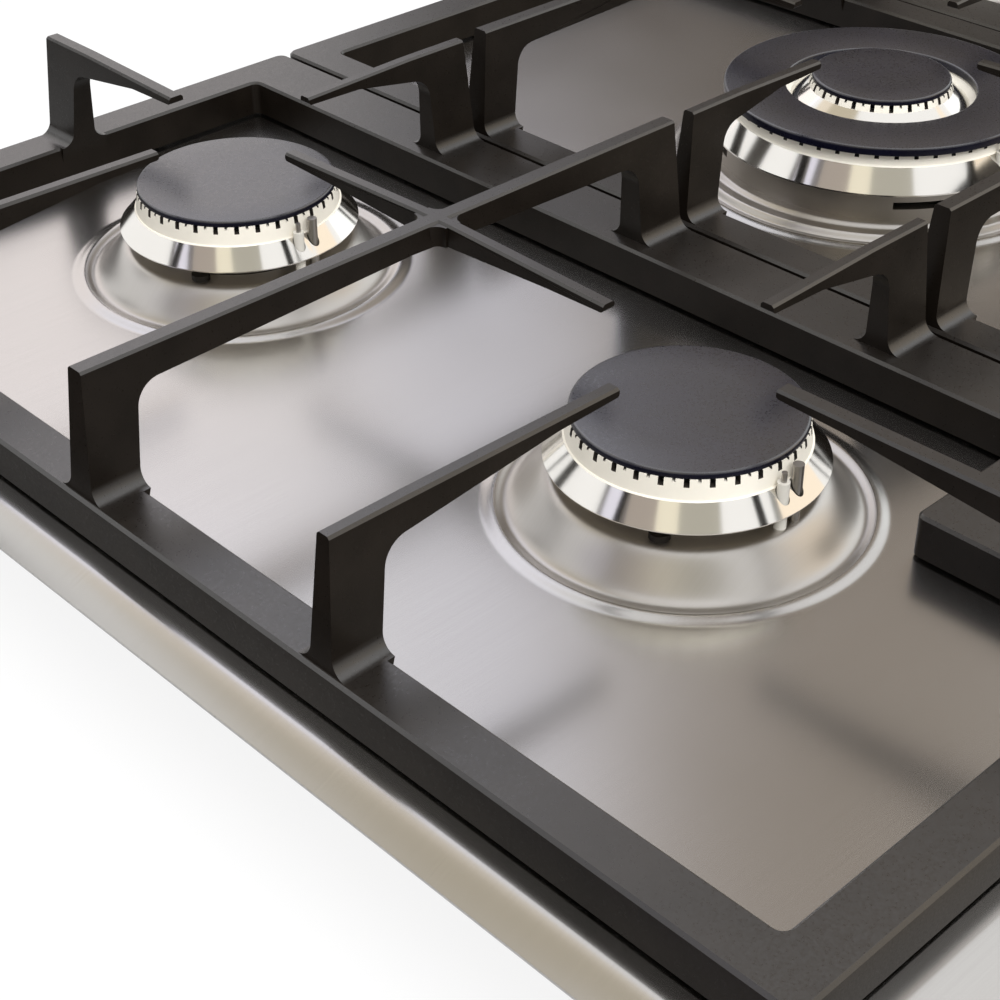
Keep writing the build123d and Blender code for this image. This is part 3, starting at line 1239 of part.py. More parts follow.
# ------------------------------------------------------------------ fixing clamps
clamp_places = [(side, y) for side in (-1, 1) for y in (-CLAMP_FROM_MIDDLE, CLAMP_FROM_MIDDLE)]
wall_x = TRAY_WIDTH / 2
clamp_parts = []
screw_parts = []
for side, y in clamp_places:
    section = Plane(origin=(side * wall_x, y, 0), x_dir=(side, 0, 0), z_dir=(0, -side, 0))
    wall = Plane(origin=(side * wall_x, y, CLAMP_SCREW_Z), x_dir=(0, 1, 0), z_dir=(side, 0, 0))
    with BuildPart() as clamp:
        with BuildSketch(section):
            with BuildLine():
                Polyline(
                    (0, CLAMP_FOOT_Z),
                    (CLAMP_REACH, CLAMP_FOOT_Z),
                    (CLAMP_REACH, CLAMP_FOOT_Z + 2 * CLAMP_THICKNESS),
                    (CLAMP_REACH - CLAMP_THICKNESS, CLAMP_FOOT_Z + 2 * CLAMP_THICKNESS),
                    (CLAMP_REACH - CLAMP_THICKNESS, CLAMP_FOOT_Z + CLAMP_THICKNESS),
                    (CLAMP_THICKNESS, CLAMP_FOOT_Z + CLAMP_THICKNESS),
                    (CLAMP_THICKNESS, CLAMP_FOOT_Z + CLAMP_HEIGHT),
                    (0, CLAMP_FOOT_Z + CLAMP_HEIGHT),
                    close=True,
                )
            make_face()
        extrude(amount=CLAMP_WIDTH / 2, both=True)
        with BuildSketch(wall):
            Circle(SCREW_R + SCREW_CLEARANCE)
        extrude(amount=CLAMP_THICKNESS, mode=Mode.SUBTRACT)
    clamp_parts.append(clamp.part)
    head = wall.offset(CLAMP_THICKNESS)
    with BuildPart() as screw:
        with BuildSketch(head):
            Circle(SCREW_HEAD_R)
        extrude(amount=SCREW_HEAD_HEIGHT)
        with BuildSketch(head):
            Circle(SCREW_R)
        extrude(amount=-CLAMP_THICKNESS - 2 * SCREW_HEAD_R)
    screw_parts.append(screw.part)
with BuildPart() as fixing_clamps:
    add(clamp_parts)
save(fixing_clamps, "fixing_clamps")
with BuildPart() as clamp_screws:
    add(screw_parts)
save(clamp_screws, "clamp_screws")

# ------------------------------------------------------------------ ignition module and cable gland
MODULE_Y = TRAY_LENGTH / 2 - MODULE_FROM_BACK - MODULE_LENGTH / 2
with BuildPart() as ignition_module:
    with BuildSketch(Plane.XY.offset(SHEET)):
        with Locations((MODULE_X, MODULE_Y)):
            RectangleRounded(MODULE_WIDTH, MODULE_LENGTH, MODULE_CORNER_R)
    extrude(amount=MODULE_HEIGHT)
    fillet(faces().sort_by(Axis.Z)[-1].edges(), SHEET)
    with BuildSketch(Plane.XY.offset(SHEET + MODULE_HEIGHT)):
        with Locations((MODULE_X, MODULE_Y)):
            with GridLocations(TOWER_PITCH, 0, TOWER_COUNT, 1):
                Circle(TOWER_R)
    extrude(amount=TOWER_HEIGHT)
save(ignition_module, "ignition_module")

with BuildPart() as cable_gland:
    with BuildSketch(Plane.XZ.offset(-GLAND_Y)):
        with Locations((GLAND_X, GLAND_Z)):
            RegularPolygon(GLAND_NUT_R, 6)
    extrude(amount=-GLAND_NUT_LENGTH)
    with BuildSketch(Plane.XZ.offset(-GLAND_Y)):
        with Locations((GLAND_X, GLAND_Z)):
            Circle(GLAND_R - SCREW_CLEARANCE)
    extrude(amount=GLAND_LENGTH)
    with BuildSketch(Plane.XZ.offset(-GLAND_Y)):
        with Locations((GLAND_X, GLAND_Z)):
            Circle(GLAND_BORE_R)
    extrude(amount=GLAND_LENGTH + GLAND_NUT_LENGTH, both=True, mode=Mode.SUBTRACT)
save(cable_gland, "cable_gland")
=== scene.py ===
import json
import math

import bmesh
import bpy
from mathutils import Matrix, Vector

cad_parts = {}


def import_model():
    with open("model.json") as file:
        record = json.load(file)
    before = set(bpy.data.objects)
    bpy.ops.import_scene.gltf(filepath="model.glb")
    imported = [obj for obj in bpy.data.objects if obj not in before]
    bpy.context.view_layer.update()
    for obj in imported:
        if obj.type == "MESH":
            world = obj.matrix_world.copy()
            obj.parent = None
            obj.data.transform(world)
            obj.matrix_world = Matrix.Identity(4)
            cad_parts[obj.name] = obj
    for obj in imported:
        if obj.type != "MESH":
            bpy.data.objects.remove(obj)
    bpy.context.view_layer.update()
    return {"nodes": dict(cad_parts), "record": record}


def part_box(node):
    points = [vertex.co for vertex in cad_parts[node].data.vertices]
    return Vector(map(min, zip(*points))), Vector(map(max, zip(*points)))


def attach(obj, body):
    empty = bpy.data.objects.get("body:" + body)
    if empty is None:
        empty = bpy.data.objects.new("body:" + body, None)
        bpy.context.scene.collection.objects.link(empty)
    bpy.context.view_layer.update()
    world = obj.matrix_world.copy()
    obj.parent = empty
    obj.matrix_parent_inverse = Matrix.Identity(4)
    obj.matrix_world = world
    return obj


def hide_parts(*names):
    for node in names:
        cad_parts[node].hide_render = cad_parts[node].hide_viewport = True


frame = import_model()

MM = 0.001

# ------------------------------------------------------------------ sizes in millimetres
# pressed top
SHEET = 1.0
DECK_Z = 50.0
RIM_FOOT_Z = 45.0
RIM_RUN_SIDE = 10.3
RIM_RUN_FRONT = 14.3
TOP_CORNER_R = 14.0
RIM_LIP = 0.8
RIM_BEND = 1.35
RIM_STEPS = 16
# the flat deck starts where the rim's run ends and is tied to it at this share of the run
DECK_EDGE_SHARE = 1.2
DOME_RISE = 10.5
DOME_RUN = 13.5
DOME_SHELF = 2.9
SKIRT_OVERHANG = 7.1
CUP_INSET = 3.3
DOME_HOLE_CLEARANCE = 0.8
BEAD_FROM_SKIRT = 13.6
BEAD_OUTER = 4.4
BEAD_INNER = 3.0
BEAD_RISE = 0.8
DOME_STEPS = 56
WOK_BEAD_R = 73.5
WOK_STEP_R = 68.6
WOK_SHELF_R = 62.7
WOK_HOLE_R = 55.0
WOK_DOME_RISE = 3.5
# the large burner's step takes this share of the rise, the shelf takes the rest
WOK_STEP_SHARE = 0.6
WOK_STEP_OUT = 2.0
WOK_STEP_RUN = 3.0
WOK_STEPS = 60
KNOB_HOLE_R = 7.5
KNOB_HOLE_STEPS = 48
HOLE_MARGIN = 1.0

# burner crowns, counted from the cap's radius and the seat's level
CROWN_HEIGHT = 13.0
SKIRT_HEIGHT = 7.0
SKIRT_LIP = 1.5
BAND_OVERHANG = 1.0
BAND_TAPER = 0.8
BAND_WALL = 2.5
CHAMBER_FLOOR = 5.5
CUP_WALL = 2.0
CROWN_CLEARANCE = 0.5
NECK_DEPTH = 8.0
NECK_WALL = 2.0
VENTURI_R = 7.0
VENTURI_WALL = 2.0
VENTURI_LENGTH = 16.0
SLOT_PITCH = 7.0
SLOT_WIDTH = 1.6
SLOT_DEPTH = 2.3
NOTCH_WIDTH = 0.9
NOTCH_DEPTH = 0.9
PROBE_FROM_CAP = 3.2
PROBE_ANGLE = 265.0
PROBE_SPACING = 5.8
PROBE_HOLE_R = 2.0
PROBE_HOLE_STEPS = 24
DRILL_MARGIN = 1.0
# the polished skirt's rounded edge as (in from its radius, up from its foot), and the fillet
# between band and skirt as (out from the band's radius, down from the band's foot)
SKIRT_EDGE = ((0.5, 0.0), (0.15, 0.15), (0.1, 0.5))
BAND_FILLET = ((0.5, 0.35), (0.3, 0.05), (0.0, 0.0))
CROWN_SHARP = 28.0
CAP_ROUND = 0.9
CAP_RIB_ROUND = 0.3
CAP_RIB_DEPTH = 2.0
CAP_RIB_WIDTH = 2.5
# a cap's flat top is turned in two parts that meet at this share of its radius
CAP_TOP_SHARE = 0.6

# castings: softened edge, welding distance, and the angles of flat faces and of edges in degrees
CASTING_EDGE = 0.35
CASTING_WELD = 0.002
CASTING_FLAT = 0.6
CASTING_EDGE_ANGLE = 20.0

# large ring burner
WOK_SKIRT_R = 62.0
WOK_BAND_R = 55.4
WOK_RING_INNER_R = 35.0
WOK_CORE_R = 33.0
WOK_COLLAR_WALL = 2.5
WOK_COLLAR_HEIGHT = 10.0
WOK_SKIRT_HEIGHT = 10.0
WOK_BAND_HEIGHT = 3.5
WOK_CORE_HEIGHT = 5.0
WOK_SKIRT_EDGE = ((0.6, 0.0), (0.1, 0.2), (0.1, 0.7))
WOK_BAND_FILLET = ((0.5, 0.5), (0.2, 0.1), (0.0, 0.0))
WOK_BAND_DROP = 1.0
# the core's lower edge, out from its radius and up from the chamber's ceiling
WOK_CORE_EDGE = ((0.3, 0.4), (-0.3, 0.3))
WOK_CORE_MARGIN = 0.1

BURNERS = ("front_left", "rear_left", "rear_right", "front_right")
KNOBS = 5
ROUND_STEPS = 120
SMALLEST_R = 1e-6
WELD = 0.001


# ------------------------------------------------------------------ helpers: places and meshes
def box_mm(node):
    """Lowest and highest corner of a CAD node in millimetres."""
    low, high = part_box(node)
    return low / MM, high / MM


def round_place(node):
    """Centre x, y and radius of a round node, seen from above."""
    low, high = box_mm(node)
    return (low.x + high.x) / 2, (low.y + high.y) / 2, (high.x - low.x) / 2


def as_piece(bm, name, body, materials, stands_for=(), sharp=35.0):
    """Turns a bmesh in millimetres into a piece in metres that rides on a body."""
    bmesh.ops.scale(bm, vec=(MM, MM, MM), verts=bm.verts)
    mesh = bpy.data.meshes.new(name)
    bm.to_mesh(mesh)
    bm.free()
    mesh.shade_smooth()
    mesh.set_sharp_from_angle(angle=math.radians(sharp))
    for material in materials:
        mesh.materials.append(material)
    piece = bpy.data.objects.new(name, mesh)
    bpy.context.scene.collection.objects.link(piece)
    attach(piece, body)
    if stands_for:
        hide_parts(*stands_for)
    return piece


def rounded(points, steps=4):
    """A closed outline of (r, z, corner radius) as (r, z) points, its corners rounded."""
    outline = []
    for i, (r, z, corner) in enumerate(points):
        here = Vector((r, z))
        if corner == 0:
            outline.append(here)
            continue
        back = Vector(points[i - 1][:2]) - here
        ahead = Vector(points[(i + 1) % len(points)][:2]) - here
        start = here + back.normalized() * min(corner, back.length / 2)
        end = here + ahead.normalized() * min(corner, ahead.length / 2)
        for k in range(steps + 1):
            t = k / steps
            outline.append(start * (1 - t) ** 2 + here * 2 * t * (1 - t) + end * t * t)
    return [(p.x, p.y) for p in outline]


def circle(bm, x, y, r, z, count=ROUND_STEPS):
    """A ring of vertices, or one vertex where the radius is nothing."""
    if r < SMALLEST_R:
        return [bm.verts.new((x, y, z))]
    angles = (2 * math.pi * i / count for i in range(count))
    return [bm.verts.new((x + r * math.cos(a), y + r * math.sin(a), z)) for a in angles]


def bridge(bm, ring_a, ring_b):
    """Faces between two rings of the same count, or a fan to a single vertex."""
    made = []
    count = max(len(ring_a), len(ring_b))
    for i in range(count):
        j = (i + 1) % count
        corners = [ring_a[k % len(ring_a)] for k in (i, j)] + [ring_b[k % len(ring_b)] for k in (j, i)]
        unique = list(dict.fromkeys(corners))
        if len(unique) > 2:
            made.append(bm.faces.new(unique))
    return made


def turned(bm, x, y, outline, closed=True):
    """An outline of (radius, height) points turned about the vertical through x, y."""
    rings = [circle(bm, x, y, r, z) for r, z in outline]
    pairs = list(zip(rings, rings[1:]))
    if closed and not (len(rings[0]) == 1 and len(rings[-1]) == 1):
        pairs.append((rings[-1], rings[0]))
    for a, b in pairs:
        if len(a) > 1 or len(b) > 1:
            bridge(bm, a, b)


def weld(bm):
    """Joins points that meet and turns the faces outward."""
    bmesh.ops.remove_doubles(bm, verts=bm.verts, dist=WELD)
    bmesh.ops.recalc_face_normals(bm, faces=bm.faces)


def smooth_step(t):
    """Runs from 0 to 1 with a flat start and a flat end."""
    t = min(max(t, 0.0), 1.0)
    return t * t * (3 - 2 * t)


# ------------------------------------------------------------------ materials
def node_material(name, color, metallic, roughness):
    """A new material with its principled shader and tools to wire it."""
    material = bpy.data.materials.new(name)
    material.use_nodes = True
    tree = material.node_tree
    shader = tree.nodes["Principled BSDF"]
    shader.inputs["Base Color"].default_value = (*color, 1)
    shader.inputs["Metallic"].default_value = metallic
    shader.inputs["Roughness"].default_value = roughness
    return material, tree, shader


def noise_field(tree, scale, stretch=(1, 1, 1), detail=4.0):
    """Noise over the object's own coordinates in metres; scale counts waves in a metre."""
    place = tree.nodes.new("ShaderNodeTexCoord")
    mapping = tree.nodes.new("ShaderNodeMapping")
    mapping.inputs["Scale"].default_value = stretch
    field = tree.nodes.new("ShaderNodeTexNoise")
    field.inputs["Scale"].default_value = scale
    field.inputs["Detail"].default_value = detail
    tree.links.new(place.outputs["Object"], mapping.inputs["Vector"])
    tree.links.new(mapping.outputs["Vector"], field.inputs["Vector"])
    return field.outputs["Fac"]


def ranged(tree, value, low, high, from_low=0.3, from_high=0.7):
    """Maps a field's usual spread to low..high."""
    node = tree.nodes.new("ShaderNodeMapRange")
    node.inputs["From Min"].default_value = from_low
    node.inputs["From Max"].default_value = from_high
    node.inputs["To Min"].default_value = low
    node.inputs["To Max"].default_value = high
    tree.links.new(value, node.inputs["Value"])
    return node.outputs["Result"]


def tinted(tree, shader, value, dark, light):
    """Drives the base colour between two tones."""
    mix = tree.nodes.new("ShaderNodeMix")
    mix.data_type = "RGBA"
    mix.inputs["A"].default_value = (*dark, 1)
    mix.inputs["B"].default_value = (*light, 1)
    tree.links.new(value, mix.inputs["Factor"])
    tree.links.new(mix.outputs["Result"], shader.inputs["Base Color"])


def bumped(tree, shader, fields):
    """Chains bumps of (height field, depth in millimetres)."""
    normal = None
    for height, depth in fields:
        bump = tree.nodes.new("ShaderNodeBump")
        bump.inputs["Strength"].default_value = 1.0
        bump.inputs["Distance"].default_value = depth * MM
        tree.links.new(height, bump.inputs["Height"])
        if normal is not None:
            tree.links.new(normal, bump.inputs["Normal"])
        normal = bump.outputs["Normal"]
    tree.links.new(normal, shader.inputs["Normal"])


def brushed_steel(name, dark, light, roughness, grain):
    """Stainless sheet with fine grain lines along x and a faint unevenness."""
    material, tree, shader = node_material(name, light, 1.0, roughness)
    lines = noise_field(tree, 1.0, (30, 2600, 30), 3.0)
    cloud = noise_field(tree, 9.0, detail=2.0)
    waves = noise_field(tree, 7.0, detail=1.0)
    tinted(tree, shader, ranged(tree, lines, 0.0, 1.0), dark, light)
    spread = ranged(tree, cloud, roughness - 0.03, roughness + 0.03)
    tree.links.new(spread, shader.inputs["Roughness"])
    bumped(tree, shader, [(waves, 0.12), (lines, grain)])
    return material


def enamel(name, dark, light, roughness, grain, index):
    """Matt vitreous enamel: fine pores, soft mottling, and a painted sheen, its gloss strongest on upper
    faces and weakest on upright ones so that tops show lighter and sides darker.
    """
    material, tree, shader = node_material(name, light, 0.0, roughness)
    shader.inputs["IOR"].default_value = index
    place = tree.nodes.new("ShaderNodeTexCoord")
    split = tree.nodes.new("ShaderNodeSeparateXYZ")
    tree.links.new(place.outputs["Normal"], split.inputs["Vector"])
    # painted sheen: the specular level follows how far a face points up, standing in for the light on top
    # faces and the shade on the sides
    painted_top_sheen = ranged(tree, split.outputs["Z"], 0.06, 0.5, from_low=0.1, from_high=0.9)
    tree.links.new(painted_top_sheen, shader.inputs["Specular IOR Level"])
    pores = noise_field(tree, 1400.0, detail=2.0)
    lumps = noise_field(tree, 160.0, detail=2.0)
    cloud = noise_field(tree, 60.0, detail=3.0)
    tinted(tree, shader, ranged(tree, cloud, 0.0, 1.0), dark, light)
    tree.links.new(ranged(tree, pores, roughness - 0.05, roughness + 0.07), shader.inputs["Roughness"])
    bumped(tree, shader, [(lumps, grain * 4), (pores, grain)])
    return material


def plain_metal(name, color, roughness, grain=0.01, scale=900.0, variation=0.9, metallic=1.0):
    """Cast, turned or drawn metal with a fine surface texture."""
    material, tree, shader = node_material(name, color, metallic, roughness)
    cloud = noise_field(tree, scale / 10, detail=3.0)
    pores = noise_field(tree, scale, detail=2.0)
    tinted(tree, shader, ranged(tree, cloud, 0.0, 1.0), tuple(c * variation for c in color), color)
    tree.links.new(ranged(tree, cloud, roughness * 0.85, roughness * 1.15), shader.inputs["Roughness"])
    bumped(tree, shader, [(pores, grain)])
    return material


def moulded(name, color, roughness, grain=0.01, scale=1200.0):
    """Plastic, rubber or ceramic with a fine skin."""
    material, tree, shader = node_material(name, color, 0.0, roughness)
    pores = noise_field(tree, scale, detail=2.0)
    cloud = noise_field(tree, 70.0, detail=2.0)
    tinted(tree, shader, ranged(tree, cloud, 0.0, 1.0), tuple(c * 0.88 for c in color), color)
    tree.links.new(ranged(tree, pores, roughness - 0.04, roughness + 0.05), shader.inputs["Roughness"])
    bumped(tree, shader, [(pores, grain)])
    return material


STEEL = brushed_steel(
    "brushed_stainless", (0.60, 0.585, 0.57), (0.62, 0.605, 0.59), 0.24, grain=0.0003,
)
PRESSED_STEEL = brushed_steel(
    "pressed_stainless", (0.605, 0.58, 0.55), (0.62, 0.595, 0.57), 0.36, grain=0.0002,
)
CAST_ENAMEL = enamel(
    "grate_enamel", (0.0062, 0.0045, 0.0032), (0.011, 0.0082, 0.0062), 0.32, grain=0.006, index=2.05,
)
CAP_ENAMEL = enamel(
    "cap_enamel", (0.002, 0.002, 0.008), (0.004, 0.004, 0.013), 0.30, grain=0.0003, index=2.38,
)
POLISHED = plain_metal("polished_alloy", (0.90, 0.875, 0.83), 0.11, 0.0004, 300.0, 0.98)
# painted shade: near-black steel for the cup screws, which sit in the shade under the burner skirts
PAINTED_SHADE_SCREW = plain_metal("screw_painted_shade", (0.06, 0.055, 0.05), 0.5)
# a near-black alloy for the walls and floors of the flame slots
DARK_SLOT_ALLOY = plain_metal("dark_slot_alloy", (0.045, 0.038, 0.032), 0.7, 0.01, metallic=0.0)
CAST_ALLOY = plain_metal("cast_alloy", (0.96, 0.91, 0.80), 0.42, variation=0.95, metallic=0.05)
DULL_ALLOY = plain_metal("die_cast_alloy", (0.42, 0.39, 0.355), 0.42, 0.012)
TRAY_STEEL = plain_metal("galvanised_steel", (0.55, 0.56, 0.57), 0.38, 0.006, 400.0, 0.8)
ZINC = plain_metal("zinc_plated_steel", (0.60, 0.60, 0.58), 0.28)
BRASS = plain_metal("machined_brass", (0.72, 0.56, 0.27), 0.25)
DRAWN_ALLOY = plain_metal("drawn_aluminium", (0.74, 0.74, 0.75), 0.30)
KNOB_METAL = plain_metal("turned_steel", (0.62, 0.60, 0.57), 0.22, 0.002)
PROBE_STEEL = plain_metal("probe_steel", (0.42, 0.40, 0.38), 0.33)
CERAMIC = moulded("glazed_ceramic", (0.80, 0.77, 0.70), 0.22, 0.002)
RUBBER = moulded("black_rubber", (0.020, 0.020, 0.020), 0.6)
PLASTIC = moulded("black_plastic", (0.030, 0.030, 0.032), 0.42)
FOAM = moulded("foam_strip", (0.055, 0.055, 0.055), 0.8, 0.08, 700.0)

SLOT_MATERIALS = {
    "stainless": STEEL,
    "tray_steel": TRAY_STEEL,
    "cast_iron": CAST_ENAMEL,
    "cap_enamel": CAP_ENAMEL,
    "crown_alloy": CAST_ALLOY,
    "cup_alloy": DULL_ALLOY,
    "ceramic": CERAMIC,
    "probe_steel": PROBE_STEEL,
    "tap_alloy": DULL_ALLOY,
    "brass": BRASS,
    "pipe_alloy": DRAWN_ALLOY,
    "screw_steel": ZINC,
    "knob_metal": KNOB_METAL,
    "rubber": RUBBER,
    "plastic": PLASTIC,
    "foam": FOAM,
}
for part in frame["record"]["subparts"]:
    node = frame["nodes"][part["node"]]
    node.data.materials.clear()
    node.data.materials.append(SLOT_MATERIALS[part["material_slot"]])
# the screws in the cups sit in the shade under the skirts and get near-black steel as painted shade,
# unlike the others of their slot
frame["nodes"]["burner_screws"].data.materials[0] = PAINTED_SHADE_SCREW


# ------------------------------------------------------------------ pressed steel top
def rounded_rectangle(bm, half_x, half_y, corner_r, z, corner_steps=10):
    """A loop of vertices round a rectangle with rounded corners, anticlockwise."""
    loop = []
    corners = ((1, -1, -90), (1, 1, 0), (-1, 1, 90), (-1, -1, 180))
    for sx, sy, from_angle in corners:
        for i in range(corner_steps + 1):
            a = math.radians(from_angle + 90 * i / corner_steps)
            x = sx * (half_x - corner_r) + corner_r * math.cos(a)
            y = sy * (half_y - corner_r) + corner_r * math.sin(a)
            loop.append(bm.verts.new((x, y, z)))
    return loop


def rim_height(share):
    """Height over the rim's foot at a share of the way in: steepest at the foot, flat at the deck."""
    rise = DECK_Z - RIM_FOOT_Z - RIM_LIP
    return RIM_LIP + rise * (1 - max(1 - share, 0.0) ** RIM_BEND)


def bead_height(r, bead_r):
    """Height of the bead at a radius: a long outer slope and a short inner one."""
    run = BEAD_OUTER if r > bead_r else BEAD_INNER
    offset = abs(r - bead_r) / run
    return BEAD_RISE * math.cos(math.pi / 2 * offset) ** 2 if offset < 1 else 0.0


def dome_profile(hole_r, shelf_r, bead_r):
    """Radius and height of the pressed ring, from its outer edge in to its hole."""
    edge_r = bead_r + BEAD_OUTER + HOLE_MARGIN
    heights = []
    for i in range(DOME_STEPS + 1):
        r = edge_r + (hole_r - edge_r) * i / DOME_STEPS
        lift = DOME_RISE * smooth_step((shelf_r + DOME_RUN - r) / DOME_RUN)
        heights.append((r, DECK_Z + lift + bead_height(r, bead_r)))
    return heights


def wok_profile():
    """The large burner's ring: a low bead, a step and a shelf."""
    edge_r = WOK_BEAD_R + BEAD_OUTER + HOLE_MARGIN
    heights = []
    for i in range(WOK_STEPS + 1):
        r = edge_r + (WOK_HOLE_R - edge_r) * i / WOK_STEPS
        step, shelf = (
            smooth_step((bend_r + WOK_STEP_OUT - r) / WOK_STEP_RUN) for bend_r in (WOK_STEP_R, WOK_SHELF_R)
        )
        lower = WOK_DOME_RISE * WOK_STEP_SHARE * step
        upper = WOK_DOME_RISE * (1 - WOK_STEP_SHARE) * shelf
        heights.append((r, DECK_Z + lower + upper + bead_height(r, WOK_BEAD_R)))
    return heights


def press(bm, x, y, outline, flank_r):
    """Joins the rings of a pressed form, duller inside flank_r, and gives its outer ring."""
    rings = [circle(bm, x, y, r, z) for r, z in outline]
    for i, (outer, inner) in enumerate(zip(rings, rings[1:])):
        for face in bridge(bm, outer, inner):
            face.material_index = 1 if outline[i][0] < flank_r else 0
    return rings[0]


def rim(bm):
    """The sloping rim all round, from its foot to the deck; gives its inner loop."""
    _, high = box_mm("top_plate")
    loops = [rounded_rectangle(bm, high.x, high.y, TOP_CORNER_R, RIM_FOOT_Z)]
    for share in [i / RIM_STEPS for i in range(RIM_STEPS + 1)] + [DECK_EDGE_SHARE]:
        half_x = high.x - RIM_RUN_SIDE * share
        half_y = high.y - RIM_RUN_FRONT * share
        loops.append(rounded_rectangle(bm, half_x, half_y, TOP_CORNER_R, RIM_FOOT_Z + rim_height(share)))
    for outer, inner in zip(loops, loops[1:]):
        bridge(bm, outer, inner)
    return loops[-1]


def burner_rings(bm):
    """The pressed rings of all burners; gives their outer rings."""
    borders = []
    for name in BURNERS:
        x, y, cap_r = round_place(f"burner_cap_{name}")
        skirt_r = cap_r + SKIRT_OVERHANG
        bead_r = skirt_r + BEAD_FROM_SKIRT
        outline = dome_profile(cap_r - CUP_INSET + DOME_HOLE_CLEARANCE, skirt_r - DOME_SHELF, bead_r)
        borders.append(press(bm, x, y, outline, bead_r))
    x, y, _ = round_place("burner_cap_wok_ring")
    borders.append(press(bm, x, y, wok_profile(), WOK_BEAD_R))
    return borders


def knob_holes(bm):
    """A flat ring round each spindle's hole; gives their outer rings."""
    borders = []
    for number in range(1, KNOBS + 1):
        x, y, _ = round_place(f"knob_{number}")
        margin = circle(bm, x, y, KNOB_HOLE_R + HOLE_MARGIN, DECK_Z, KNOB_HOLE_STEPS)
        bridge(bm, margin, circle(bm, x, y, KNOB_HOLE_R, DECK_Z, KNOB_HOLE_STEPS))
        borders.append(margin)
    return borders


def steel_top():
    """The pressed sheet: rim, burner rings and knob holes, joined by the flat deck."""
    bm = bmesh.new()
    borders = [rim(bm), *burner_rings(bm), *knob_holes(bm)]
    edges = []
    for border in borders:
        for i, vertex in enumerate(border):
            other = border[(i + 1) % len(border)]
            edges.append(bm.edges.get((vertex, other)) or bm.edges.new((vertex, other)))
    bmesh.ops.triangle_fill(bm, edges=edges, use_beauty=True)
    bmesh.ops.recalc_face_normals(bm, faces=bm.faces)
    if sum(f.normal.z for f in bm.faces) < 0:
        bmesh.ops.reverse_faces(bm, faces=bm.faces)
    piece = as_piece(
        bm, "pressed_top", "hob", [STEEL, PRESSED_STEEL], ["top_plate"], sharp=60,
    )
    shell = piece.modifiers.new("sheet", "SOLIDIFY")
    shell.thickness = SHEET * MM
    shell.offset = -1


steel_top()


# ------------------------------------------------------------------ grates
def cast_copy(node, name, body, material):
    """A CAD casting with its edges softened, as enamel leaves them."""
    bm = bmesh.new()
    bm.from_mesh(frame["nodes"][node].data)
    bmesh.ops.scale(bm, vec=(1 / MM, 1 / MM, 1 / MM), verts=bm.verts)
    bmesh.ops.remove_doubles(bm, verts=bm.verts, dist=CASTING_WELD)
    bmesh.ops.dissolve_limit(
        bm, angle_limit=math.radians(CASTING_FLAT), verts=bm.verts, edges=bm.edges,
    )
    piece = as_piece(bm, name, body, [material], [node], sharp=180)
    bevel = piece.modifiers.new("soft_edges", "BEVEL")
    bevel.width = CASTING_EDGE * MM
    bevel.segments = 2
    bevel.limit_method = "ANGLE"
    bevel.angle_limit = math.radians(CASTING_EDGE_ANGLE)
    bevel.harden_normals = False
    weighted = piece.modifiers.new("flat_faces", "WEIGHTED_NORMAL")
    weighted.keep_sharp = True


for side in ("left", "centre", "right"):
    cast_copy(f"grate_{side}", f"pan_support_{side}", f"{side}_grate", CAST_ENAMEL)


# ------------------------------------------------------------------ burners
CROWN_MATERIALS = [POLISHED, CAST_ALLOY, DARK_SLOT_ALLOY]
DARK_SLOT_INDEX = 2


def polar(x, y, r, angle, z):
    """A point at a radius and an angle from x, y."""
    return (x + r * math.cos(angle), y + r * math.sin(angle), z)


def slotted(bm, x, y, before, band, after, finish):
    """A turned outline whose band is cut by slots, with a small notch between every two.

    band is ((outer foot radius, outer top radius), inner radius, top level, foot level), and
    finish gives each strip's material."""
    (foot_r, top_r), inner_r, top_z, band_foot_z = band

    def outer(z):
        """The tapered band's outer radius at a level."""
        return foot_r + (top_r - foot_r) * (z - band_foot_z) / (top_z - band_foot_z)

    slot_z = top_z - SLOT_DEPTH
    notch_z = top_z - NOTCH_DEPTH
    land = [(outer(notch_z), notch_z), (top_r, top_z), (inner_r, top_z), (inner_r, notch_z)]
    notch = [land[0], land[-1]]
    start = [*before, (outer(slot_z), slot_z)]
    end = [(inner_r, slot_z), *after]

    def dark_slot_floor(j):
        """As finish, but the slot's own floor is made dark."""
        return DARK_SLOT_INDEX if j == len(start) - 1 else finish(j)

    count = round(2 * math.pi * foot_r / SLOT_PITCH)
    step = 2 * math.pi / count
    half_slot = SLOT_WIDTH / foot_r / 2
    half_notch = NOTCH_WIDTH / foot_r / 2
    cuts = [
        (-half_slot, half_slot, [], 2),
        (half_slot, step / 2 - half_notch, land, 2),
        (step / 2 - half_notch, step / 2 + half_notch, notch, 1),
        (step / 2 + half_notch, step - half_slot, land, 2),
    ]
    for i in range(count):
        for low, high, middle, pieces in cuts:
            outline = start + middle + end
            for k in range(pieces):
                a = i * step + low + (high - low) * k / pieces
                b = i * step + low + (high - low) * (k + 1) / pieces
                sweep_step(bm, x, y, outline, a, b, finish if middle else dark_slot_floor)
        wall = [start[-1], *land, end[0]]
        for angle, corners, flip in (
            (i * step + half_slot, wall, True),
            (i * step - half_slot, wall, False),
            (i * step + step / 2 - half_notch, land, False),
            (i * step + step / 2 + half_notch, land, True),
        ):
            points = [bm.verts.new(polar(x, y, r, angle, z)) for r, z in corners]
            bm.faces.new(points if flip else points[::-1]).material_index = DARK_SLOT_INDEX


def sweep_step(bm, x, y, outline, a, b, finish):
    """One narrow wedge of a turned outline, from angle a to angle b."""
    for j, (r, z) in enumerate(outline):
        r2, z2 = outline[(j + 1) % len(outline)]
        if (r, z) == (r2, z2):
            continue
        corners = [polar(x, y, r, angle, z) for angle in (a, b)]
        corners += [polar(x, y, r2, angle, z2) for angle in (b, a)]
        face = bm.faces.new([bm.verts.new(p) for p in corners])
        face.material_index = finish(j)


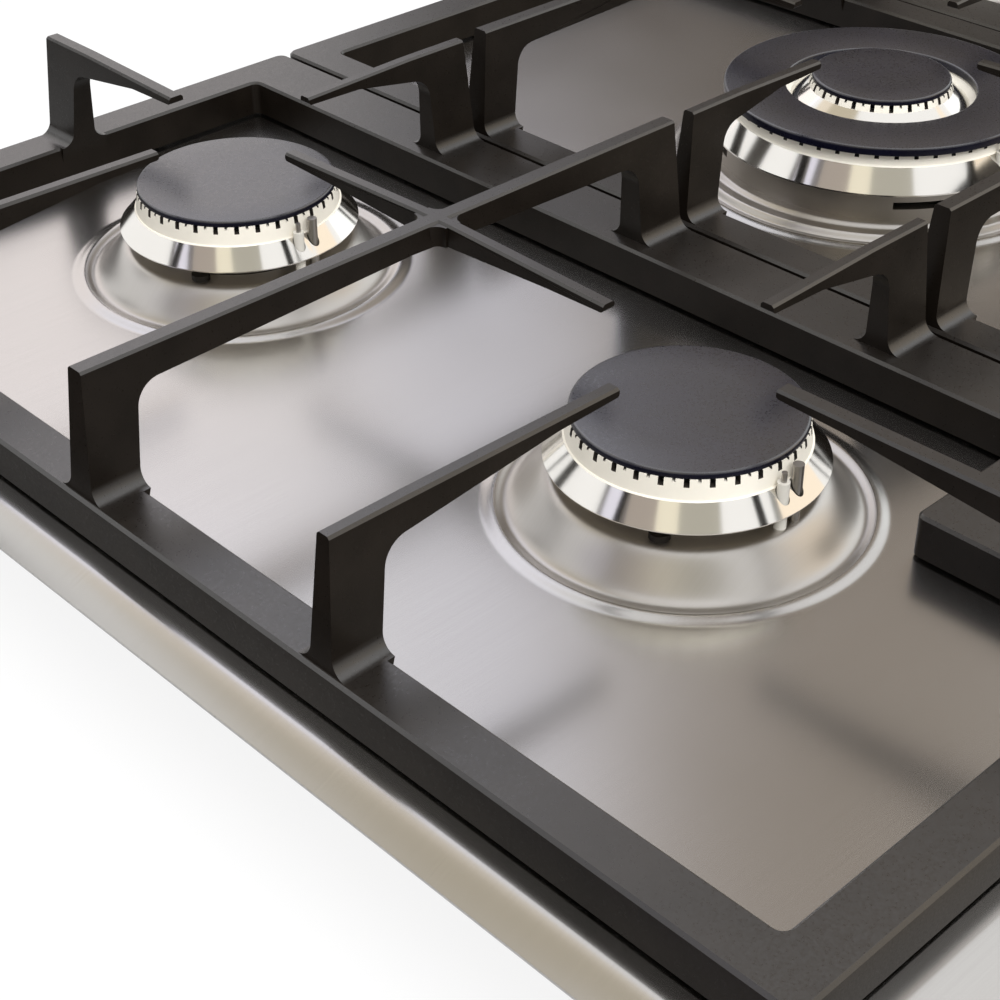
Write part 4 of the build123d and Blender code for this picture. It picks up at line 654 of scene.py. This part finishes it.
def drill(piece, x, y, r, low, high):
    """Cuts holes for the electrode and the thermocouple through a crown, side by side at radius r."""
    bm = bmesh.new()
    for number in range(2):
        angle = math.radians(PROBE_ANGLE) + number * PROBE_SPACING / r
        place = polar(x, y, r, angle, (low + high) / 2)
        made = bmesh.ops.create_cone(
            bm, cap_ends=True, segments=PROBE_HOLE_STEPS,
            radius1=PROBE_HOLE_R, radius2=PROBE_HOLE_R, depth=high - low,
        )
        bmesh.ops.translate(bm, vec=place, verts=made["verts"])
    bmesh.ops.scale(bm, vec=(MM, MM, MM), verts=bm.verts)
    mesh = bpy.data.meshes.new("drill")
    bm.to_mesh(mesh)
    bm.free()
    cutter = bpy.data.objects.new("drill", mesh)
    bpy.context.scene.collection.objects.link(cutter)
    cut = piece.modifiers.new("holes", "BOOLEAN")
    cut.operation = "DIFFERENCE"
    cut.solver = "EXACT"
    cut.object = cutter
    depsgraph = bpy.context.evaluated_depsgraph_get()
    shape = bpy.data.meshes.new_from_object(piece.evaluated_get(depsgraph))
    piece.modifiers.clear()
    piece.data = shape
    bpy.data.objects.remove(cutter)


def crown(name):
    """A small burner's crown: venturi, neck, polished skirt and slotted band."""
    x, y, cap_r = round_place(f"burner_cap_{name}")
    top_z = box_mm(f"burner_crown_{name}")[1].z
    seat = top_z - CROWN_HEIGHT
    skirt_top = seat + SKIRT_HEIGHT
    chamber = seat + CHAMBER_FLOOR
    cup_r = cap_r - CUP_INSET
    neck_r = cup_r - CUP_WALL - CROWN_CLEARANCE
    band_r = cap_r + BAND_OVERHANG
    skirt_r = cap_r + SKIRT_OVERHANG
    wall_r = band_r - BAND_OVERHANG - BAND_WALL
    tube_r = VENTURI_R + VENTURI_WALL
    groove = chamber - VENTURI_WALL
    before = [
        (VENTURI_R, seat - VENTURI_LENGTH),
        (tube_r, seat - VENTURI_LENGTH),
        (tube_r, seat),
        (neck_r - NECK_WALL, seat),
        (neck_r - NECK_WALL, seat - NECK_DEPTH),
        (neck_r, seat - NECK_DEPTH),
        (neck_r, seat),
        (cup_r + CROWN_CLEARANCE, seat),
        (cup_r + CROWN_CLEARANCE, groove),
        (band_r - CROWN_CLEARANCE, groove),
        (skirt_r - SKIRT_LIP, seat),
        *[(skirt_r - inward, seat + up) for inward, up in SKIRT_EDGE],
        *[(band_r + out, skirt_top - down) for out, down in BAND_FILLET],
    ]
    skirt_strips = range(12, 14)
    after = [
        (wall_r, chamber),
        (tube_r + VENTURI_WALL, chamber),
        (VENTURI_R, chamber - VENTURI_WALL * 2),
    ]

    def finish(j):
        """Polished on the skirt, cast elsewhere."""
        return 0 if j in skirt_strips else 1

    bm = bmesh.new()
    band = ((band_r, band_r - BAND_TAPER), wall_r, top_z, skirt_top)
    slotted(bm, x, y, before, band, after, finish)
    weld(bm)
    piece = as_piece(
        bm, f"flame_ring_{name}", f"crown_{name}",
        CROWN_MATERIALS, [f"burner_crown_{name}"], sharp=CROWN_SHARP,
    )
    drill(piece, x, y, cap_r + PROBE_FROM_CAP, seat - DRILL_MARGIN, top_z + DRILL_MARGIN)


def lid(name, node, body, inner_r, rib_r):
    """A cap with rounded edges and a rib below, solid or with a round opening."""
    x, y, r = round_place(node)
    low, high = box_mm(node)
    top = high.z
    foot = low.z + CAP_RIB_DEPTH
    outline = [
        (r, foot, CAP_RIB_ROUND),
        (rib_r, foot, 0),
        (rib_r, foot - CAP_RIB_DEPTH, CAP_RIB_ROUND),
        (rib_r - CAP_RIB_WIDTH, foot - CAP_RIB_DEPTH, CAP_RIB_ROUND),
        (rib_r - CAP_RIB_WIDTH, foot, 0),
    ]
    if inner_r:
        outline += [(inner_r, foot, CAP_RIB_ROUND), (inner_r, top, CAP_ROUND), (r, top, CAP_ROUND)]
        points = rounded(outline)
    else:
        outline += [(0, foot, 0), (0, top, 0), (r * CAP_TOP_SHARE, top, 0), (r, top, CAP_ROUND)]
        points = rounded(outline)
        split = points.index((0, top))
        points = points[split:] + points[:split]
    bm = bmesh.new()
    turned(bm, x, y, points, closed=bool(inner_r))
    weld(bm)
    as_piece(bm, name, body, [CAP_ENAMEL], [node], sharp=40)


for name in BURNERS:
    crown(name)
    cap_r = round_place(f"burner_cap_{name}")[2]
    lid(f"lid_{name}", f"burner_cap_{name}", f"cap_{name}", 0, cap_r - BAND_WALL - CROWN_CLEARANCE)
WOK_WALL_R = WOK_BAND_R - BAND_WALL - BAND_TAPER
CORE_BAND_R = round_place("burner_cap_wok_centre")[2] + BAND_OVERHANG
CORE_WALL_R = CORE_BAND_R - BAND_WALL
lid("lid_wok_ring", "burner_cap_wok_ring", "cap_wok_ring", WOK_RING_INNER_R, WOK_WALL_R - CROWN_CLEARANCE)
lid("lid_wok_centre", "burner_cap_wok_centre", "cap_wok_centre", 0, CORE_WALL_R - CROWN_CLEARANCE)


def wok_crown():
    """The large burner's crown: a ring with skirt and slotted band, and a slotted core inside it."""
    x, y, _ = round_place("burner_cap_wok_ring")
    shelf = DECK_Z + WOK_DOME_RISE
    seat = shelf + WOK_COLLAR_HEIGHT
    skirt_top = seat + WOK_SKIRT_HEIGHT
    band_foot = skirt_top - WOK_BAND_DROP
    top = skirt_top + WOK_BAND_HEIGHT
    floor = seat + CHAMBER_FLOOR
    core_top = top + WOK_CORE_HEIGHT
    core_foot = core_top - SLOT_DEPTH - WOK_CORE_MARGIN
    collar_r = round_place("burner_cup_wok")[2]
    neck_r = collar_r - WOK_COLLAR_WALL - CROWN_CLEARANCE
    ring_wall_r = WOK_RING_INNER_R + 2 * BAND_WALL
    before = [
        (ring_wall_r, floor),
        (neck_r - NECK_WALL, floor - VENTURI_WALL),
        (neck_r - NECK_WALL, seat - NECK_WALL),
        (neck_r, seat - NECK_WALL),
        (neck_r, seat),
        *[(WOK_SKIRT_R - inward, seat + up) for inward, up in WOK_SKIRT_EDGE],
        *[(WOK_BAND_R + out, band_foot - down) for out, down in WOK_BAND_FILLET],
    ]
    skirt_strips = range(5, 8)

    def finish(j):
        """Polished on the skirt, cast elsewhere."""
        return 0 if j in skirt_strips else 1

    bm = bmesh.new()
    band = ((WOK_BAND_R, WOK_BAND_R - BAND_TAPER), WOK_WALL_R, top, band_foot)
    slotted(bm, x, y, before, band, [(WOK_WALL_R, floor)], finish)
    core_before = [
        (VENTURI_R, seat - VENTURI_LENGTH),
        (VENTURI_R + VENTURI_WALL, seat - VENTURI_LENGTH),
        (VENTURI_R + VENTURI_WALL, seat),
        (ring_wall_r, seat),
        (ring_wall_r, top),
        (WOK_RING_INNER_R + BAND_WALL / 2, top),
        *[(WOK_CORE_R + out, floor + CHAMBER_FLOOR + up) for out, up in WOK_CORE_EDGE],
        (CORE_BAND_R, core_foot),
    ]
    core_after = [
        (CORE_WALL_R, floor),
        (VENTURI_R + 2 * VENTURI_WALL, floor),
        (VENTURI_R, floor - 2 * VENTURI_WALL),
    ]

    cone_strip = 7

    def core_finish(j):
        """Polished on the cone round the core, cast elsewhere."""
        return 0 if j == cone_strip else 1

    core_band = ((CORE_BAND_R, CORE_BAND_R - BAND_TAPER), CORE_WALL_R, core_top, core_foot)
    slotted(bm, x, y, core_before, core_band, core_after, core_finish)
    weld(bm)
    piece = as_piece(
        bm, "flame_ring_wok", "crown_wok",
        CROWN_MATERIALS, ["burner_crown_wok"], sharp=CROWN_SHARP,
    )
    probe_r = WOK_BAND_R + PROBE_FROM_CAP - BAND_OVERHANG
    drill(piece, x, y, probe_r, seat - NECK_WALL - DRILL_MARGIN, top + DRILL_MARGIN)


wok_crown()


# ------------------------------------------------------------------ studio, in metres
CAMERA_PLACE = (-0.56767, -0.37114, 0.35903)
CAMERA_TURN = (0.966, 0.0046, -0.7653)
CAMERA_LENS = 69.27
SENSOR_WIDTH = 36.0
CLIP_START = 0.01

FLOOR_HALF = 6.0
FLOOR_Z = -0.0005
# the share of the floor's white that is its own glow, where the camera or a reflection sees it
FLOOR_GLOW = 0.84
FLOOR_LIT = (0.97, 0.97, 0.97)
FLOOR_BOUNCE = (0.45, 0.43, 0.41)
MAT_Z = 0.0005
CARD_DISTANCE = 4.0
CARD_ACROSS = 12
CARD_UP = 6
LAMP_DISTANCE = 2.4
SOFT_LIGHT = 0.8


def emission(name, color):
    """A glowing card's material."""
    material = bpy.data.materials.new(name)
    material.use_nodes = True
    tree = material.node_tree
    tree.nodes.remove(tree.nodes["Principled BSDF"])
    glow = tree.nodes.new("ShaderNodeEmission")
    glow.inputs["Color"].default_value = (*color, 1)
    glow.inputs["Strength"].default_value = 1.0
    tree.links.new(glow.outputs["Emission"], tree.nodes["Material Output"].inputs["Surface"])
    return material


def direction(azimuth, elevation):
    """The unit vector towards an azimuth and an elevation in degrees."""
    a, e = math.radians(azimuth), math.radians(elevation)
    return Vector((math.cos(e) * math.cos(a), math.cos(e) * math.sin(a), math.sin(e)))


def between(span, share):
    """The value at a share of the way through a (from, to) span."""
    return span[0] + (span[1] - span[0]) * share


def card(name, azimuth, elevation, color):
    """A curved glowing card that only reflections see; angles in degrees, as (from, to)."""
    bm = bmesh.new()
    grid = [
        [
            bm.verts.new(CARD_DISTANCE * direction(azimuth_here, elevation_here))
            for azimuth_here in (between(azimuth, i / CARD_ACROSS) for i in range(CARD_ACROSS + 1))
        ]
        for elevation_here in (between(elevation, j / CARD_UP) for j in range(CARD_UP + 1))
    ]
    for j in range(CARD_UP):
        for i in range(CARD_ACROSS):
            bm.faces.new((grid[j][i], grid[j][i + 1], grid[j + 1][i + 1], grid[j + 1][i]))
    only_in_reflections(stage_object(bm, name, emission(name, color)))


def stage_object(bm, name, material):
    """Turns a bmesh in metres into an object of the stage."""
    mesh = bpy.data.meshes.new(name)
    bm.to_mesh(mesh)
    bm.free()
    mesh.materials.append(material)
    thing = bpy.data.objects.new(name, mesh)
    bpy.context.scene.collection.objects.link(thing)
    return thing


def only_in_reflections(thing):
    """Hides a stage object from everything but reflections."""
    thing.visible_camera = False
    thing.visible_diffuse = False
    thing.visible_shadow = False
    thing.visible_transmission = False


def flat_sheet(along_x, along_y, z):
    """A level rectangle that faces up, over two (from, to) spans."""
    bm = bmesh.new()
    (x0, x1), (y0, y1) = along_x, along_y
    bm.faces.new([bm.verts.new((x, y, z)) for x, y in ((x0, y0), (x1, y0), (x1, y1), (x0, y1))])
    return bm


def mat(name, along_x, along_y, color):
    """A flat glowing sheet beside the object, just over the floor, that only reflections see."""
    only_in_reflections(stage_object(flat_sheet(along_x, along_y, MAT_Z), name, emission(name, color)))


def combined(tree, operation, first, second):
    """Two values joined by a math node."""
    node = tree.nodes.new("ShaderNodeMath")
    node.operation = operation
    tree.links.new(first, node.inputs[0])
    tree.links.new(second, node.inputs[1])
    return node.outputs["Value"]


def mixed(tree, share, first, second):
    """Two shaders mixed by a share."""
    node = tree.nodes.new("ShaderNodeMixShader")
    tree.links.new(share, node.inputs["Fac"])
    tree.links.new(first, node.inputs[1])
    tree.links.new(second, node.inputs[2])
    return node.outputs["Shader"]


def floor():
    """A pale floor that shows white, keeps a soft shadow and is clear from below."""
    material, tree, shader = node_material("pale_floor", FLOOR_LIT, 0.0, 0.9)
    path = tree.nodes.new("ShaderNodeLightPath")
    tinted(tree, shader, path.outputs["Is Camera Ray"], FLOOR_BOUNCE, FLOOR_LIT)
    seen = combined(tree, "MAXIMUM", path.outputs["Is Camera Ray"], path.outputs["Is Glossy Ray"])
    share = tree.nodes.new("ShaderNodeMath")
    share.operation = "MULTIPLY"
    share.inputs[1].default_value = FLOOR_GLOW
    tree.links.new(seen, share.inputs[0])
    glow = tree.nodes.new("ShaderNodeEmission")
    glow.inputs["Strength"].default_value = 1.0
    clear = tree.nodes.new("ShaderNodeBsdfTransparent")
    side = tree.nodes.new("ShaderNodeNewGeometry")
    lit = mixed(tree, share.outputs["Value"], shader.outputs["BSDF"], glow.outputs["Emission"])
    surface = mixed(tree, side.outputs["Backfacing"], lit, clear.outputs["BSDF"])
    tree.links.new(surface, tree.nodes["Material Output"].inputs["Surface"])
    span = (-FLOOR_HALF, FLOOR_HALF)
    stage_object(flat_sheet(span, span, FLOOR_Z), "floor", material)


def world():
    """White for the camera and in reflections, a plain soft light for the rest."""
    surroundings = bpy.data.worlds.new("studio")
    bpy.context.scene.world = surroundings
    surroundings.use_nodes = True
    tree = surroundings.node_tree
    background = tree.nodes["Background"]
    background.inputs["Color"].default_value = (1, 1, 1, 1)
    path = tree.nodes.new("ShaderNodeLightPath")
    direct = combined(tree, "MAXIMUM", path.outputs["Is Camera Ray"], path.outputs["Is Glossy Ray"])
    white = combined(tree, "MAXIMUM", direct, path.outputs["Is Transmission Ray"])
    strength = ranged(tree, white, SOFT_LIGHT, 1.0, from_low=0.0, from_high=1.0)
    tree.links.new(strength, background.inputs["Strength"])


def softbox(name, azimuth, elevation, width, height, radiance):
    """A rectangular lamp that faces the object; radiance 1 shows as white."""
    lamp = bpy.data.lights.new(name, "AREA")
    lamp.shape = "RECTANGLE"
    lamp.size = width
    lamp.size_y = height
    lamp.energy = radiance * math.pi * width * height
    thing = bpy.data.objects.new(name, lamp)
    way = direction(azimuth, elevation)
    thing.location = way * LAMP_DISTANCE
    thing.rotation_mode = "QUATERNION"
    thing.rotation_quaternion = way.to_track_quat("Z", "Y")
    thing.visible_glossy = False
    bpy.context.scene.collection.objects.link(thing)


def camera():
    """The camera that took the photo, as fitted to it."""
    data = bpy.data.cameras.new("camera")
    data.lens = CAMERA_LENS
    data.sensor_width = SENSOR_WIDTH
    data.clip_start = CLIP_START
    thing = bpy.data.objects.new("camera", data)
    thing.location = CAMERA_PLACE
    thing.rotation_euler = CAMERA_TURN
    bpy.context.scene.collection.objects.link(thing)
    bpy.context.scene.camera = thing


camera()
world()
floor()
softbox("window_left", 118, 40, 1.6, 1.1, 1.5)
softbox("front_key", -108, 50, 1.8, 1.2, 7.2)

TAUPE = (0.37, 0.32, 0.27)
BROWN = (0.075, 0.058, 0.043)
FRAME = (0.16, 0.15, 0.15)
# the dark side of the room and the windows beside it, mirrored in the deck
card("brown_wall", (20, 53), (4, 26.5), BROWN)
card("taupe_wall", (18, 42.5), (26.5, 76), TAUPE)
card("wall_edge", (42.5, 45.5), (26.5, 60), (0.62, 0.58, 0.55))
card("lilac_curtain", (45.5, 55), (26.5, 52), (0.98, 0.98, 1.08))
card("warm_window", (55, 92), (14, 36), (1.22, 1.14, 1.12))
# the ceiling over the left side, mirrored in the sloping rim
card("lilac_cornice", (58, 90), (36, 58), (1.20, 1.20, 1.32))
card("cream_ceiling", (90, 106), (43, 78), (0.88, 0.79, 0.66))
card("dim_ceiling", (106, 143), (46, 78), (0.58, 0.52, 0.40))
# a dark shelf and a bright low window, mirrored by way of the deck
card("dark_shelf", (108, 128), (27, 36), (0.05, 0.045, 0.04))
card("low_window", (-14, 18), (11, 32), (1.30, 1.34, 1.34))
card("cream_front", (-62, -20), (0, 42), (1.12, 0.98, 0.80))
# window frames and walls between the windows, mirrored in the burner skirts
card("frame_left", (151, 155), (8, 62), FRAME)
card("lilac_window", (155, 168), (8, 62), (0.84, 0.83, 0.95))
card("frame_middle", (168, 173), (8, 62), FRAME)
card("grey_brown_wall", (173, 197), (8, 62), (0.42, 0.37, 0.33))
card("pale_wall", (197, 215), (8, 62), (0.92, 0.86, 0.70))
card("olive_wall", (-145, -110), (8, 62), (0.47, 0.45, 0.39))
card("frame_right", (-67, -62), (8, 62), (0.30, 0.30, 0.29))
# dark worktop to the left and a warm one in front, mirrored in the upright sides of the grates
mat("left_table", (-3.0, -0.39), (-3.0, 3.0), (0.05, 0.04, 0.035))
mat("front_table", (-0.39, 3.0), (-3.0, -0.27), (0.42, 0.32, 0.22))

bpy.context.scene.view_settings.view_transform = "Standard"
